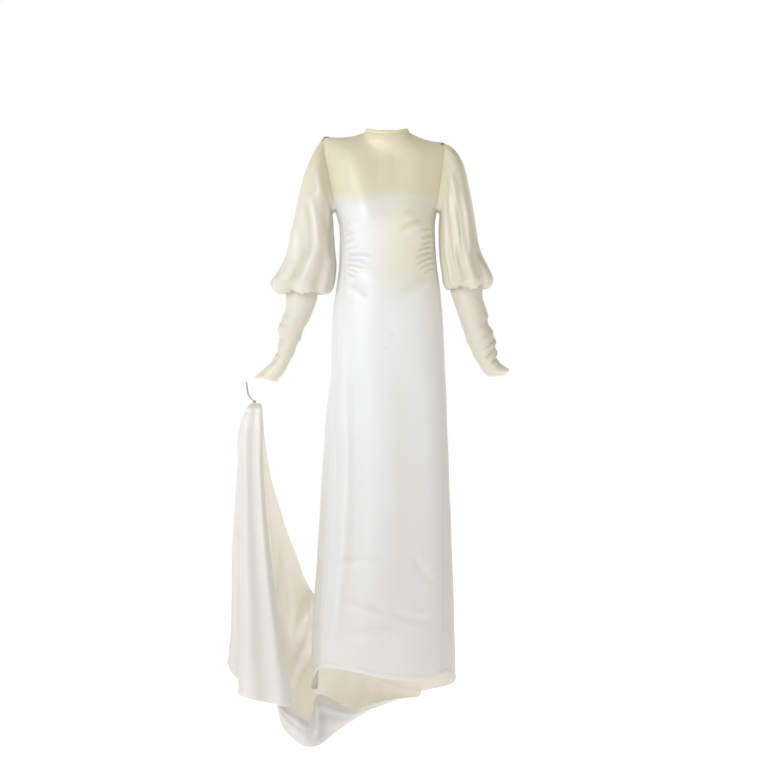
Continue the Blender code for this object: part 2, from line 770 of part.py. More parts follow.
def cloth(name, point_at, across, along, material, ease=(0, 0, 0, 0), tube=False, own_axis=False):
    """Shapes a flat grid into a piece of cloth and gives it its wall.

    ease is how far its first and last column and its first and last row draw back from their seams.
    """
    sheet = bmesh.new()
    columns = len(across) - 1
    rows = len(along) - 1
    bmesh.ops.create_grid(sheet, x_segments=columns, y_segments=rows, size=0.5)
    places = {}
    for vertex in sheet.verts:
        i = round((vertex.co.x + 0.5) * columns)
        j = round((vertex.co.y + 0.5) * rows)
        places[vertex] = (i, j)
    shaped = {}
    for i, u in enumerate(across):
        for j, v in enumerate(along):
            shaped[i, j] = point_at(u, v) * MM
    drawn = dict(shaped)
    for (i, j), point in shaped.items():
        moved = point.copy()
        if i == 0 and ease[0]:
            moved += (shaped[1, j] - point).normalized() * ease[0]
        if i == columns and ease[1]:
            moved += (shaped[columns - 1, j] - point).normalized() * ease[1]
        if j == 0 and ease[2]:
            moved += (shaped[i, 1] - point).normalized() * ease[2]
        if j == rows and ease[3]:
            moved += (shaped[i, rows - 1] - point).normalized() * ease[3]
        drawn[i, j] = moved
    for vertex, place in places.items():
        vertex.co = drawn[place]
    if tube:
        bmesh.ops.remove_doubles(sheet, verts=sheet.verts, dist=0.00001)
    face_outwards(sheet, own_axis or tube)
    mesh = bpy.data.meshes.new(name)
    sheet.to_mesh(mesh)
    sheet.free()
    mesh.materials.append(material)
    mesh.shade_smooth()
    piece = bpy.data.objects.new(name, mesh)
    wall = piece.modifiers.new("wall", "SOLIDIFY")
    wall.thickness = CLOTH_WALL
    wall.offset = -1.0
    wall.use_even_offset = True
    return piece


def make_front(material):
    """The front panel in one length, from neck and shoulders to hem."""
    ease = (HALF_SEAM, HALF_SEAM, SHOULDER_EASE, 0)
    across = edge_close(FRONT_COLUMNS, FRONT_CLOSENESS)
    return cloth("front_panel", front_point, across, front_rows(), material, ease)


def make_sides(material):
    """The two side panels."""
    pieces = []
    for name, side in (("side_panel_right", -1), ("side_panel_left", 1)):
        def shape(u, v, side=side):
            return side_point(side, u, v)
        ease = (HALF_SEAM, BACK_SEAM_EASE, ARMHOLE_EASE, 0)
        pieces.append(cloth(name, shape, steps(SIDE_COLUMNS), ROWS_BELOW, material, ease))
    return pieces


def make_backs(material):
    """The two back panels, which meet in a centre back seam."""
    pieces = []
    for name, side in (("back_panel_right", -1), ("back_panel_left", 1)):
        def shape(u, v, side=side):
            return back_point(side, u, v)
        ease = (HALF_SEAM, HALF_SEAM, SHOULDER_EASE, HALF_SEAM)
        pieces.append(cloth(name, shape, steps(BACK_COLUMNS), back_rows(), material, ease))
    return pieces


def make_sleeves(material):
    """The balloon sleeves and the lower sleeves."""
    pieces = []
    upper = (("upper_sleeve_right", -1, UPPER_RIGHT, GATHER_RING_RIGHT, SLEEVE_WAVES_RIGHT),
             ("upper_sleeve_left", 1, UPPER_LEFT, GATHER_RING_LEFT, SLEEVE_WAVES_LEFT))
    for name, side, rings, gather_ring, waves in upper:
        def balloon(u, v, side=side, rings=rings, gather_ring=gather_ring, waves=waves):
            return upper_sleeve_point(side, rings, gather_ring, waves, 360.0 * u, v)
        ease = (0, 0, SLEEVE_HEAD_EASE, 0)
        pieces.append(cloth(name, balloon, steps(BALLOON_COLUMNS), SLEEVE_ROWS, material, ease, tube=True))
    lower = (("lower_sleeve_right", -1, LOWER_RIGHT, CREASES_RIGHT),
             ("lower_sleeve_left", 1, LOWER_LEFT, CREASES_LEFT))
    for name, side, rings, creases in lower:
        def close_sleeve(u, v, rings=rings, creases=creases):
            return lower_sleeve_point(rings, creases, 360.0 * u, v)
        around = steps(CLOSE_SLEEVE_COLUMNS)
        pieces.append(cloth(name, close_sleeve, around, steps(CLOSE_SLEEVE_ROWS), material, tube=True))
    return pieces


def make_train(material):
    """The two stretches of the train."""
    ease = (0, 0, TRAIN_ROOT_EASE, HALF_SEAM)
    across, along = POUCH_GRID
    pouch = cloth("train_pouch", pouch_point, steps(across), steps(along), material, ease, own_axis=True)
    ease = (0, 0, HALF_SEAM, 0)
    across, along = FALL_GRID
    fall = cloth("train_fall", fall_point, steps(across), steps(along), material, ease, own_axis=True)
    return [pouch, fall]


def binding_point(turn, up):
    """The neck binding, turned from the right side over the front and round the back."""
    if turn <= 180.0:
        edge = neck_edge(turn, False)
    else:
        edge = neck_edge(360.0 - turn, True)
    height = up * (BINDING_HEIGHT + BINDING_OVERLAP) - BINDING_OVERLAP
    lean = 1.0 - BINDING_LEAN * up / NECK_HALF_WIDTH
    return Vector((edge.x * lean, edge.y * lean, edge.z + height))


def make_binding(material):
    """The narrow band round the neck."""
    def shape(u, v):
        return binding_point(360.0 * u, v)
    around, up = BINDING_GRID
    return cloth("neck_binding", shape, steps(around), steps(up), material, tube=True)


def make_tab(material):
    """The squared corner of the right shoulder opening, laid over the sleeve head."""
    def shape(u, v):
        x, z = spline_across(TAB_PROFILE, v)
        return Vector((x, TAB_FRONT + u * (TAB_BACK - TAB_FRONT), z - TAB_CURVE * (2.0 * u - 1.0) ** 2))
    across, along = TAB_GRID
    return cloth("shoulder_tab_right", shape, steps(across), steps(along), material)


def make_button(material):
    """The small round fastening, seated on the left shoulder."""
    place = yoke_point(BUTTON_ACROSS, BUTTON_DOWN, False)
    beside = yoke_point(BUTTON_ACROSS - BUTTON_LOOK, BUTTON_DOWN, False)
    below = yoke_point(BUTTON_ACROSS, BUTTON_DOWN + BUTTON_LOOK, False)
    facing = (beside - place).cross(below - place).normalized()
    if facing.z < 0.0:
        facing = -facing
    disc = bmesh.new()
    bmesh.ops.create_cone(disc, cap_ends=True, segments=16, radius1=BUTTON_RADIUS * MM,
                          radius2=BUTTON_RADIUS * MM, depth=BUTTON_HEIGHT * MM)
    turn = Vector((0.0, 0.0, 1.0)).rotation_difference(facing).to_matrix().to_4x4()
    bmesh.ops.transform(disc, matrix=turn, verts=disc.verts)
    seat = (place + facing * (0.5 * BUTTON_HEIGHT + BUTTON_GAP)) * MM
    bmesh.ops.translate(disc, vec=seat, verts=disc.verts)
    mesh = bpy.data.meshes.new("shoulder_button_left")
    disc.to_mesh(mesh)
    disc.free()
    mesh.materials.append(material)
    return bpy.data.objects.new("shoulder_button_left", mesh)


def make_loop(material):
    """The thin cord that holds the train up, as a tube along its route."""
    curve = bpy.data.curves.new("train_loop", "CURVE")
    curve.dimensions = "3D"
    curve.bevel_depth = CORD_RADIUS
    curve.bevel_resolution = 2
    curve.use_fill_caps = True
    line = curve.splines.new("POLY")
    line.points.add(LOOP_POINTS - 1)
    for index, share in enumerate(steps(LOOP_POINTS - 1)):
        x, y, z = spline_across(LOOP_ROUTE, share)
        line.points[index].co = (x * MM, y * MM, z * MM, 1.0)
    curve.materials.append(material)
    return bpy.data.objects.new("train_loop", curve)


def make_knot(material):
    """The knot that ties the loop's two ends on the gathered cloth."""
    ball = bmesh.new()
    bmesh.ops.create_uvsphere(ball, u_segments=12, v_segments=7, radius=MM)
    bmesh.ops.scale(ball, vec=KNOT_HALF, verts=ball.verts)
    bmesh.ops.translate(ball, vec=Vector(KNOT_PLACE) * MM, verts=ball.verts)
    mesh = bpy.data.meshes.new("loop_knot")
    ball.to_mesh(mesh)
    ball.free()
    mesh.materials.append(material)
    return bpy.data.objects.new("loop_knot", mesh)


def dress_collection():
    """The collection that holds the dress."""
    group = bpy.data.collections.new(COLLECTION)
    bpy.context.scene.collection.children.link(group)
    return group


def main():
    """Builds the whole dress."""
    clear_scene()
    group = dress_collection()
    satin = finish("ivory_satin", IVORY, 0.32)
    pieces = [make_front(satin)]
    pieces += make_sides(satin)
    pieces += make_backs(satin)
    pieces += make_sleeves(satin)
    pieces += make_train(satin)
    pieces.append(make_binding(satin))
    pieces.append(make_tab(satin))
    pieces.append(make_button(finish("dark_button", BUTTON_COLOUR, 0.35)))
    cord = finish("silk_cord", CORD_COLOUR, 0.6)
    pieces.append(make_loop(cord))
    pieces.append(make_knot(cord))
    for piece in pieces:
        group.objects.link(piece)


main()
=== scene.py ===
import math

import bmesh
import bpy
import numpy as np
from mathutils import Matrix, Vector


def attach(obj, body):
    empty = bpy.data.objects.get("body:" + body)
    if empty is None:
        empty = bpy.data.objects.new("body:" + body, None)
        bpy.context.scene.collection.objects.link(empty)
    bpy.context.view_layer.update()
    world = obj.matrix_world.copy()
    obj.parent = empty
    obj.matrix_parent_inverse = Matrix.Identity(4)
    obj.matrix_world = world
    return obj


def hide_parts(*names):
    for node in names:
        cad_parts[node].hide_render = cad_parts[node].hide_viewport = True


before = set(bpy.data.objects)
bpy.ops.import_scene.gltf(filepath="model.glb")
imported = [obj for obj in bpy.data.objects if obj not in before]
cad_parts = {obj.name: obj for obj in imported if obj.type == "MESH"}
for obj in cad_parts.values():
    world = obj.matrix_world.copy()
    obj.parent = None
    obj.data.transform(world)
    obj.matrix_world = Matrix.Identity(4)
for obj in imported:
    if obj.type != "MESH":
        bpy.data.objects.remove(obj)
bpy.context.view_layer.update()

# The looks of a bias-cut satin wedding dress of the 1930s. Metres, +Z up, the dress faces -Y.
# Right and left are the wearer's. Tables are in millimetres and repeat the sizes of the solids.
MM = 0.001
SHELL = 0.9 * MM
UNDERARM_LEVEL = -185.0

BODY_COLUMNS = ("level", "right", "left", "front", "back", "seam_right", "seam_left")
BODY = (
    (-185, -130, 125, 103, 86, -124, 118),
    (-215, -121, 120, 108, 85, -117, 114),
    (-245, -118, 120, 103, 82, -112, 113.5),
    (-277, -119, 121, 94, 78, -108, 115),
    (-327, -120, 125, 86, 74, -106, 117),
    (-370, -125, 132, 88, 82, -107, 118),
    (-432, -135, 138, 95, 98, -109, 119),
    (-500, -138, 142, 100, 110, -112, 125),
    (-595, -140, 146, 103, 115, -119, 133),
    (-657, -148, 149, 103, 114, -124, 137),
    (-782, -158, 153, 103, 112, -132, 138),
    (-907, -166, 157, 106, 118, -138, 138),
    (-1032, -173, 161, 112, 130, -146, 138),
    (-1157, -181, 165, 120, 148, -155, 137),
    (-1257, -185, 167, 127, 166, -163, 135),
    (-1357, -187, 169, 134, 188, -171, 133),
    (-1457, -189, 171, 140, 206, -176, 132),
)
SECTION_SQUARENESS = 2.3
BACK_SEAM_ANGLE = 112.0

HEM_COLUMNS = ("angle", "level")
HEM = (
    (-112, -1392), (-90, -1377), (-74, -1345), (-64, -1324), (-40, -1314), (-15, -1322), (0, -1334),
    (20, -1341), (42, -1338), (58, -1331), (72, -1340), (90, -1357), (112, -1381), (150, -1412),
)
TRAIN_ROOT_COLUMNS = ("angle", "level")
TRAIN_ROOT = ((150, -1412), (172, -1402), (195, -1350), (218, -1258), (248, -1160))

NECK_HALF_WIDTH = 56.0
NECK_FRONT = 50.0
NECK_BACK = 58.0
NECK_SIDE_LEVEL = 11.0
NECK_FRONT_LEVEL = 1.0
NECK_BACK_LEVEL = 15.0
SHOULDER_TIP_RIGHT = (-158.0, 2.0, -1.0)
SHOULDER_TIP_LEFT = (144.0, 2.0, -15.0)
SHOULDER_SHARE = 0.30
SHOULDER_FROM = 0.04
SHOULDER_FADE = 0.42
TOP_SOFTENING = 0.26
TOP_SOFTENED_BY = 0.34
SOFTENING_STEPS = (-1.0, -0.75, -0.5, -0.25, 0.0, 0.25, 0.5, 0.75, 1.0)
BUST_LEVEL = -200.0
BUST_SPREAD = 62.0
BUST_HEIGHT = 9.0

SKIRT_FOLD_COLUMNS = ("angle", "half_width", "height", "top")
SKIRT_FOLDS = (
    (-58, 7, 4.0, -600),
    (-84, 9, 5.0, -800),
    (-36, 10, 2.5, -900),
    (50, 8, 3.0, -800),
    (82, 9, 5.0, -700),
    (106, 11, 6.0, -700),
    (132, 11, 6.0, -750),
    (158, 11, 6.0, -800),
    (184, 11, 5.0, -800),
    (210, 11, 4.0, -850),
    (236, 10, 3.0, -800),
)

# Folds and creases of the front: each runs from one point to another across the front, seen from it.
# A crease with a side of 1 or -1 has a ridge beside its trough, and one with 0 is a plain ridge or trough.
FOLD_COLUMNS = ("start_x", "start_z", "end_x", "end_z", "half_width", "height", "side")
FRONT_FOLDS = (
    (-108, -252, -80, -246, 3.2, -1.9, 1),
    (-108, -268, -78, -262, 3.4, -2.2, 1),
    (-107, -284, -72, -281, 3.4, -2.0, 1),
    (-107, -299, -30, -303, 4.2, -3.6, 1),
    (-107, -310, -42, -322, 3.8, -3.4, 1),
    (-107, -320, -54, -334, 3.6, -3.2, 1),
    (-107, -330, -66, -344, 3.4, -2.8, 1),
    (-106, -341, -74, -356, 3.4, -2.4, 1),
    (-96, -362, -40, -402, 10.0, -2.2, 1),
    (-60, -330, -14, -352, 12.0, -0.8, 1),
    (-104, -222, -66, -214, 7.0, -1.2, 1),
    (114, -232, 84, -240, 3.4, -1.9, -1),
    (114, -250, 80, -262, 3.4, -2.6, -1),
    (115, -262, 84, -278, 3.4, -2.8, -1),
    (116, -277, 74, -290, 3.6, -3.2, -1),
    (116, -290, 66, -310, 3.8, -3.4, -1),
    (117, -302, 70, -324, 3.8, -3.2, -1),
    (117, -316, 76, -336, 3.6, -2.8, -1),
    (117, -330, 88, -346, 3.4, -2.2, -1),
    (92, -204, 30, -242, 8.0, -3.0, 0),
    (86, -220, 40, -250, 8.0, 1.4, 0),
    (72, -192, 40, -199, 8.0, -0.9, -1),
    (104, -350, 34, -398, 13.0, -1.5, -1),
    (-134, -1058, -4, -1040, 9.0, -1.2, 1),
    (-120, -1146, 8, -1176, 10.0, -1.2, 1),
    (6, -1178, 124, -1200, 10.0, -1.1, -1),
    (-104, -1226, 46, -1208, 12.0, -0.9, 1),
    (56, -1034, 118, -1112, 11.0, -1.1, -1),
)
GATHER_DEPTH = 1.3
# Upright soft runs of the skirt front.
FRONT_RUNS = (
    (-122, -430, -146, -1300, 7.0, 2.2, 0),
    (-104, -520, -128, -1300, 10.0, -1.8, 0),
    (-60, -430, -78, -1300, 22.0, 1.6, 0),
    (10, -450, 4, -1300, 26.0, -1.6, 0),
    (70, -430, 82, -1300, 22.0, 1.6, 0),
    (124, -430, 120, -1300, 8.0, 1.8, 0),
)

# Folds of the train, in the same columns: those inside its hollow, and those of its near side.
HOLLOW_FOLDS = (
    (-184, -1060, -201, -1240, 10.0, 11.0, 0),
    (-196, -1190, -242, -1306, 10.0, 11.0, 0),
    (-186, -1246, -226, -1360, 10.0, 10.0, 0),
    (-204, -1100, -224, -1250, 12.0, -8.0, 0),
    (-210, -1268, -236, -1340, 8.0, -6.0, 0),
    (-212, -1290, -244, -1400, 9.0, 5.0, 0),
    (-262, -1000, -250, -1330, 8.0, 4.0, 0),
    (-278, -900, -282, -1200, 7.0, -3.0, 0),
)
NEAR_FOLDS = (
    (-176, -1398, -183, -1512, 5.0, 6.0, 0),
    (-158, -1420, -166, -1512, 9.0, -5.0, 0),
    (-196, -1440, -196, -1510, 9.0, -3.0, 0),
    (-216, -1440, -236, -1490, 8.0, 4.0, 0),
)

RING_COLUMNS = ("outer_x", "outer_z", "inner_x", "inner_z", "half_depth", "wave")
UPPER_RIGHT = (
    (-183, -36, -136, -192, 70, 1.5),
    (-199, -75, -134.5, -206, 74, 2.5),
    (-216, -130, -133, -229, 78, 3.0),
    (-233, -214, -130, -276, 81, 3.5),
    (-251, -296, -126, -318, 84, 4.5),
    (-273, -342, -127.5, -345, 86, 5.5),
    (-286, -362, -131, -366, 86, 6.5),
    (-281, -381, -136, -382, 80, 6.0),
    (-268, -391, -147, -392, 66, 4.5),
    (-259, -388, -165, -389, 47, 2.0),
    (-254.4, -379, -172.6, -379, 40.4, 0),
)
UPPER_LEFT = (
    (169, -30, 131.5, -194, 70, 1.5),
    (190, -66, 130, -208, 74, 2.5),
    (204, -120, 129, -232, 78, 3.0),
    (217, -190, 129.5, -270, 81, 3.5),
    (231, -272, 132, -310, 84, 4.5),
    (253, -322, 136, -338, 86, 5.5),
    (266, -352, 138.5, -358, 86, 6.5),
    (262, -369, 142, -372, 80, 6.0),
    (253, -378, 148, -381, 66, 4.5),
    (244, -376, 152, -377, 47, 2.0),
    (239.9, -367, 155.1, -367, 40.5, 0),
)
SLEEVE_WAVES_RIGHT = (9, 0.6)
SLEEVE_WAVES_LEFT = (10, 2.1)
# The deepest folds where each balloon sleeve turns under: the place round it, half width and height.
LOBES_RIGHT = ((0.17, 0.030, -5.0), (0.24, 0.035, 4.0), (0.33, 0.030, -4.0), (0.75, 0.035, -5.0))
LOBES_LEFT = ((0.155, 0.022, -6.0), (0.21, 0.030, 3.5), (0.31, 0.030, -4.5), (0.72, 0.035, -5.0))
# Long folds of each balloon sleeve, in the columns of the front's folds.
BALLOON_FOLDS_RIGHT = (
    (-158, -60, -132, -172, 6.0, 4.0, 0),
    (-197, -130, -170, -304, 9.0, 6.0, 0),
    (-212, -150, -197, -318, 10.0, -5.0, 0),
    (-156, -190, -141, -318, 8.0, -5.0, 0),
    (-238, -215, -232, -330, 9.0, 3.5, 0),
)
BALLOON_FOLDS_LEFT = (
    (180, -130, 199, -332, 7.0, 5.5, 0),
    (150, -130, 170, -322, 7.0, 4.5, 0),
    (166, -160, 183, -332, 6.0, -5.0, 0),
    (203, -215, 238, -338, 9.0, -5.0, 0),
    (146, -95, 142, -195, 5.0, -3.0, 0),
)
HEAD_SHARE = 0.16
HEAD_PUFF = 1.5
SLEEVE_TUCK = 2.6
SLEEVE_TUCK_TOWARDS = (90.0, -100.0)

LOWER_RIGHT = (
    (-254, -362, -173, -362, 40, 0),
    (-253, -394, -174, -394, 39, 0),
    (-252.5, -410, -176, -410, 38, 0.5),
    (-256, -444, -190, -448, 36, 1.5),
    (-271, -472, -207, -480, 34, 2.0),
    (-270, -498, -217, -506, 32, 1.0),
    (-271, -521, -226, -524, 30, 2.0),
    (-281, -552, -240, -556, 28, 1.0),
    (-302, -575, -253, -583, 31, 1.5),
    (-332, -600, -276, -612, 35, 0.5),
)
LOWER_LEFT = (
    (239, -350, 154, -350, 40, 0),
    (239, -384, 158, -384, 39, 0),
    (240, -407, 165, -407, 38, 0.5),
    (250, -437, 177, -443, 36, 1.5),
    (253, -467, 187, -473, 34, 2.5),
    (268, -500, 199, -506, 33, 2.5),
    (271, -530, 212, -536, 31, 3.0),
    (275, -557, 229, -568, 30, 3.0),
    (290, -570, 252, -597, 32, 1.5),
    (305, -580, 293, -597, 35, 0.5),
)
CREASE_COLUMNS = ("along", "round", "reach", "slant", "height", "half_width")
CREASES_RIGHT = (
    (0.36, 20, 110, 0.05, 2.6, 0.030),
    (0.50, -10, 90, -0.06, 2.0, 0.028),
    (0.66, 10, 120, 0.06, 2.8, 0.030),
    (0.78, -20, 100, -0.05, 2.2, 0.028),
    (0.55, 180, 90, 0.05, 2.0, 0.030),
    (0.72, 200, 90, -0.05, 2.0, 0.030),
)
CREASES_LEFT = (
    (0.38, 15, 110, 0.06, 2.6, 0.028),
    (0.50, 10, 130, 0.09, 3.4, 0.026),
    (0.60, 5, 130, 0.09, 3.6, 0.026),
    (0.70, 0, 140, 0.10, 4.4, 0.028),
    (0.79, -5, 120, 0.06, 3.0, 0.026),
    (0.58, 180, 100, -0.05, 2.4, 0.030),
    (0.72, 190, 100, 0.05, 2.4, 0.030),
)

# Fine creases over the front of each close sleeve, in the same columns.
FINE_CREASES_RIGHT = (
    (0.42, 40, 70, 0.05, -1.6, 0.016),
    (0.58, 30, 70, 0.06, -1.8, 0.016),
    (0.74, 40, 80, 0.06, -2.0, 0.016),
)
FINE_CREASES_LEFT = (
    (0.44, 55, 70, 0.07, -1.8, 0.016),
    (0.54, 60, 80, 0.10, -2.8, 0.015),
    (0.62, 55, 80, 0.11, -3.2, 0.015),
    (0.71, 65, 80, 0.12, -3.4, 0.016),
    (0.79, 60, 70, 0.08, -2.6, 0.015),
)

POUCH_COLUMNS = ("near", "near_wall", "bottom", "far_wall", "far")
POUCH = (
    ((80, 172, -1426), (4, 192, -1430), (-62, 186, -1396), (-124, 160, -1302), (-166, 112, -1164)),
    ((34, 168, -1428), (-18, 178, -1450), (-82, 172, -1446), (-150, 158, -1335), (-190, 122, -1150)),
    ((-38, 112, -1434), (-62, 116, -1460), (-108, 128, -1474), (-176, 156, -1360), (-212, 128, -1112)),
    ((-91, 52, -1437), (-98, 54, -1462), (-138, 84, -1494), (-194, 142, -1372), (-230, 118, -1064)),
    ((-171, -8, -1392), (-170, -18, -1450), (-174, 18, -1520), (-214, 116, -1372), (-250, 98, -1012)),
    ((-189, -42, -1441), (-192, -50, -1482), (-207, 8, -1516), (-235, 98, -1350), (-265, 82, -962)),
    ((-226, -46, -1429), (-229, -54, -1465), (-241, 0, -1490), (-257, 74, -1300), (-278, 66, -915)),
    ((-262, -42, -1396), (-266, -44, -1424), (-268, -4, -1438), (-273, 52, -1220), (-290, 52, -868)),
    ((-287, -34, -1290), (-290, -26, -1300), (-288, 0, -1294), (-289, 36, -1105), (-301, 40, -812)),
    ((-307, -26, -1120), (-308, -18, -1118), (-305, 0, -1100), (-304, 24, -950), (-308, 27, -752)),
    ((-322, -20, -900), (-322, -12, -896), (-319, 0, -880), (-315, 14, -796), (-311, 16, -706)),
    ((-336, -2, -700), (-334, 7, -695), (-328, 11, -690), (-321, 8, -690), (-314, 0, -692)),
    ((-338, 2.0, -668), (-334, 3.0, -666.6), (-327, 3.4, -666), (-320, 3.0, -666.6), (-314, 2.0, -668)),
)
POUCH_FOLD_COLUMNS = ("across", "half_width", "height", "start", "end")
POUCH_FOLDS = (
    (0.22, 0.05, 4.0, 0.15, 0.80),
    (0.48, 0.06, 6.0, 0.10, 0.90),
    (0.64, 0.05, -6.0, 0.15, 0.90),
    (0.76, 0.05, 6.0, 0.20, 0.92),
    (0.88, 0.05, -5.0, 0.25, 0.92),
)

FALL_COLUMNS = ("level", "right", "ridge", "back_ply", "front", "depth")
FALL = (
    (-666, -315, -337, -338, -0.4, 0),
    (-672, -312, -344, -345, -13, 4),
    (-690, -310, -352, -355, -24, 12),
    (-727, -308, -361, -369, -34, 22),
    (-820, -308, -362, -373, -42, 28),
    (-922, -301, -361, -380, -50, 32),
    (-1032, -290, -361, -387, -57, 36),
    (-1150, -274, -360, -389, -63, 40),
    (-1260, -257, -361, -393, -68, 44),
    (-1340, -244, -364, -402, -72, 47),
    (-1425, -233, -367, -408, -75, 50),
)
FALL_HEM_COLUMNS = ("across", "level")
FALL_HEM = (
    (0.00, -1419), (0.18, -1408), (0.42, -1391), (0.56, -1376), (0.64, -1362), (0.72, -1340),
    (0.84, -1316), (0.92, -1318), (1.00, -1330),
)

CORD_RADIUS = 1.0 * MM
LOOP_ROUTE = (
    (-333.3, -3.7, -659.7),
    (-339.5, -9.5, -654.0),
    (-345.5, -13.5, -646.0),
    (-348.5, -15.0, -636.0),
    (-350.0, -13.5, -624.0),
    (-350.5, -8.0, -615.5),
    (-350.5, 0.0, -612.5),
    (-350.5, 8.0, -615.5),
    (-350.0, 13.5, -624.0),
    (-348.5, 15.0, -636.0),
    (-345.5, 13.5, -646.0),
    (-339.5, 9.5, -654.0),
    (-333.3, 3.7, -659.7),
)
LOOP_POINTS = 40
KNOT_PLACE = (-331.0, 0.0, -662.0)
KNOT_HALF = (4.2, 4.6, 3.6)

BINDING_HEIGHT = 9.5
BINDING_LEAN = 4.5
BINDING_OVERLAP = -0.6
BUTTON_ACROSS = 0.975
BUTTON_DOWN = 0.035
BUTTON_RADIUS = 3.6
BUTTON_HEIGHT = 2.6
BUTTON_GAP = 0.4
TAB_FRONT = -13.0
TAB_BACK = 11.0
TAB_PROFILE = ((-144.0, 0.7), (-150.0, 1.2), (-156.5, 1.0), (-160.0, -3.4), (-166.0, -12.5))

# A fold of this height in millimetres takes the satin's full painted shade in its valley and full painted highlight
# on its ridge.
FULL_FOLD = 4.0

CAMERA_DISTANCE = 5.0
CAMERA_X = -0.0075
CAMERA_LEVEL = -0.6175
FRAME_WIDTH_AT_DRESS = 1.92
SENSOR = 36.0
FLOOR_LEVEL = -1.556
FLOOR_GLOW = 0.62


def make_camera():
    """A level camera straight in front of the dress, which frames it as the photo does."""
    data = bpy.data.cameras.new("camera")
    data.sensor_width = SENSOR
    data.lens = SENSOR * CAMERA_DISTANCE / FRAME_WIDTH_AT_DRESS
    camera = bpy.data.objects.new("camera", data)
    camera.location = (CAMERA_X, -CAMERA_DISTANCE, CAMERA_LEVEL)
    camera.rotation_euler = (math.radians(90.0), 0.0, 0.0)
    bpy.context.scene.collection.objects.link(camera)
    bpy.context.scene.camera = camera


def column(table, columns, name):
    """All the values of one named column."""
    index = columns.index(name)
    return np.array([row[index] for row in table], dtype=float)


def smooth_read(places, values, at):
    """Reads a table along a smooth curve through its rows, at many places."""
    places = np.asarray(places, dtype=float)
    values = np.asarray(values, dtype=float)
    if places[0] > places[-1]:
        places = places[::-1]
        values = values[::-1]
    at = np.clip(np.asarray(at, dtype=float), places[0], places[-1])
    row = np.clip(np.searchsorted(places, at) - 1, 0, len(places) - 2)
    step = places[row + 1] - places[row]
    share = (at - places[row]) / step
    slopes = np.gradient(values, places, axis=0)
    if values.ndim > 1:
        share = share[..., None]
        step = step[..., None]
    rise = values[row + 1] - values[row]
    blend = share * share * (3.0 - 2.0 * share)
    ease_in = slopes[row] * step * share * (1.0 - share) ** 2
    ease_out = slopes[row + 1] * step * share * share * (share - 1.0)
    return values[row] + rise * blend + ease_in + ease_out


def body_size(level, name):
    """One size of the dress's body at each level."""
    return smooth_read(column(BODY, BODY_COLUMNS, "level"), column(BODY, BODY_COLUMNS, name), level)


def power(value, exponent):
    """A signed power, for the squared round section."""
    return np.sign(value) * np.abs(value) ** exponent


def hump(distance):
    """A soft ridge, 1 on its line and 0 far from it."""
    return np.exp(-np.square(distance))


def fade(share):
    """Falls smoothly from 1 to 0 as share goes from 0 to 1."""
    share = np.clip(share, 0.0, 1.0)
    return 1.0 - share * share * (3.0 - 2.0 * share)


def point(x, y, z):
    """Joins three coordinates."""
    x, y, z = np.broadcast_arrays(x, y, z)
    return np.stack((x, y, z), axis=-1).astype(float)


def skirt_folds(angle, level):
    """How far the skirt's upright folds stand out."""
    out = np.zeros(np.broadcast(angle, level).shape)
    for at, half_width, height, top in SKIRT_FOLDS:
        away = (angle - at + 180.0) % 360.0 - 180.0
        growth = 1.0 - fade((top - level) / 700.0)
        out += height * growth * hump(away / half_width)
    return out


def body_point(angle, level):
    """Points of the dress's outer face, by angle from the front and by level."""
    right = body_size(level, "right")
    left = body_size(level, "left")
    centre = 0.5 * (right + left)
    turn = np.radians(angle)
    exponent = 2.0 / SECTION_SQUARENESS
    depth = np.where(np.cos(turn) > 0.0, body_size(level, "front"), body_size(level, "back"))
    out = skirt_folds(angle, level)
    x = centre + (0.5 * (left - right) + 0.6 * out) * power(np.sin(turn), exponent)
    y = -(depth + out) * power(np.cos(turn), exponent)
    return point(x, y, level)


def seam_angle(level, side):
    """The angle at which a front seam runs."""
    name = "seam_right" if side < 0 else "seam_left"
    right = body_size(level, "right")
    left = body_size(level, "left")
    share = (body_size(level, name) - 0.5 * (right + left)) / (0.5 * (left - right))
    share = np.minimum(np.abs(share), 0.985)
    return side * np.degrees(np.arcsin(share ** (SECTION_SQUARENESS / 2.0)))


def hem_level(angle):
    """The level of the lower edge at an angle from the front."""
    return smooth_read(column(HEM, HEM_COLUMNS, "angle"), column(HEM, HEM_COLUMNS, "level"), angle)


def root_level(angle):
    """The level at which the train runs on from the back."""
    angles = column(TRAIN_ROOT, TRAIN_ROOT_COLUMNS, "angle")
    return smooth_read(angles, column(TRAIN_ROOT, TRAIN_ROOT_COLUMNS, "level"), angle)


def seam_hold(inwards, width):
    """Holds a raised form down at a seam, and lets it go over a width inwards."""
    return 1.0 - hump(inwards / width)


def bust(x, level):
    """The soft fullness over the bust."""
    high = hump((level - BUST_LEVEL) / 52.0)
    sides = hump((x - BUST_SPREAD) / 40.0) + hump((x + BUST_SPREAD) / 40.0)
    return BUST_HEIGHT * high * sides


def neck_edge(turn, back):
    """Points of the neck edge, turned from the right side to the left."""
    angle = np.radians(turn)
    depth = NECK_BACK if back else -NECK_FRONT
    low = NECK_BACK_LEVEL if back else NECK_FRONT_LEVEL
    x = -NECK_HALF_WIDTH * np.cos(angle)
    y = depth * np.sin(angle)
    z = NECK_SIDE_LEVEL + (low - NECK_SIDE_LEVEL) * np.sin(angle) ** 2
    return point(x, y, z)


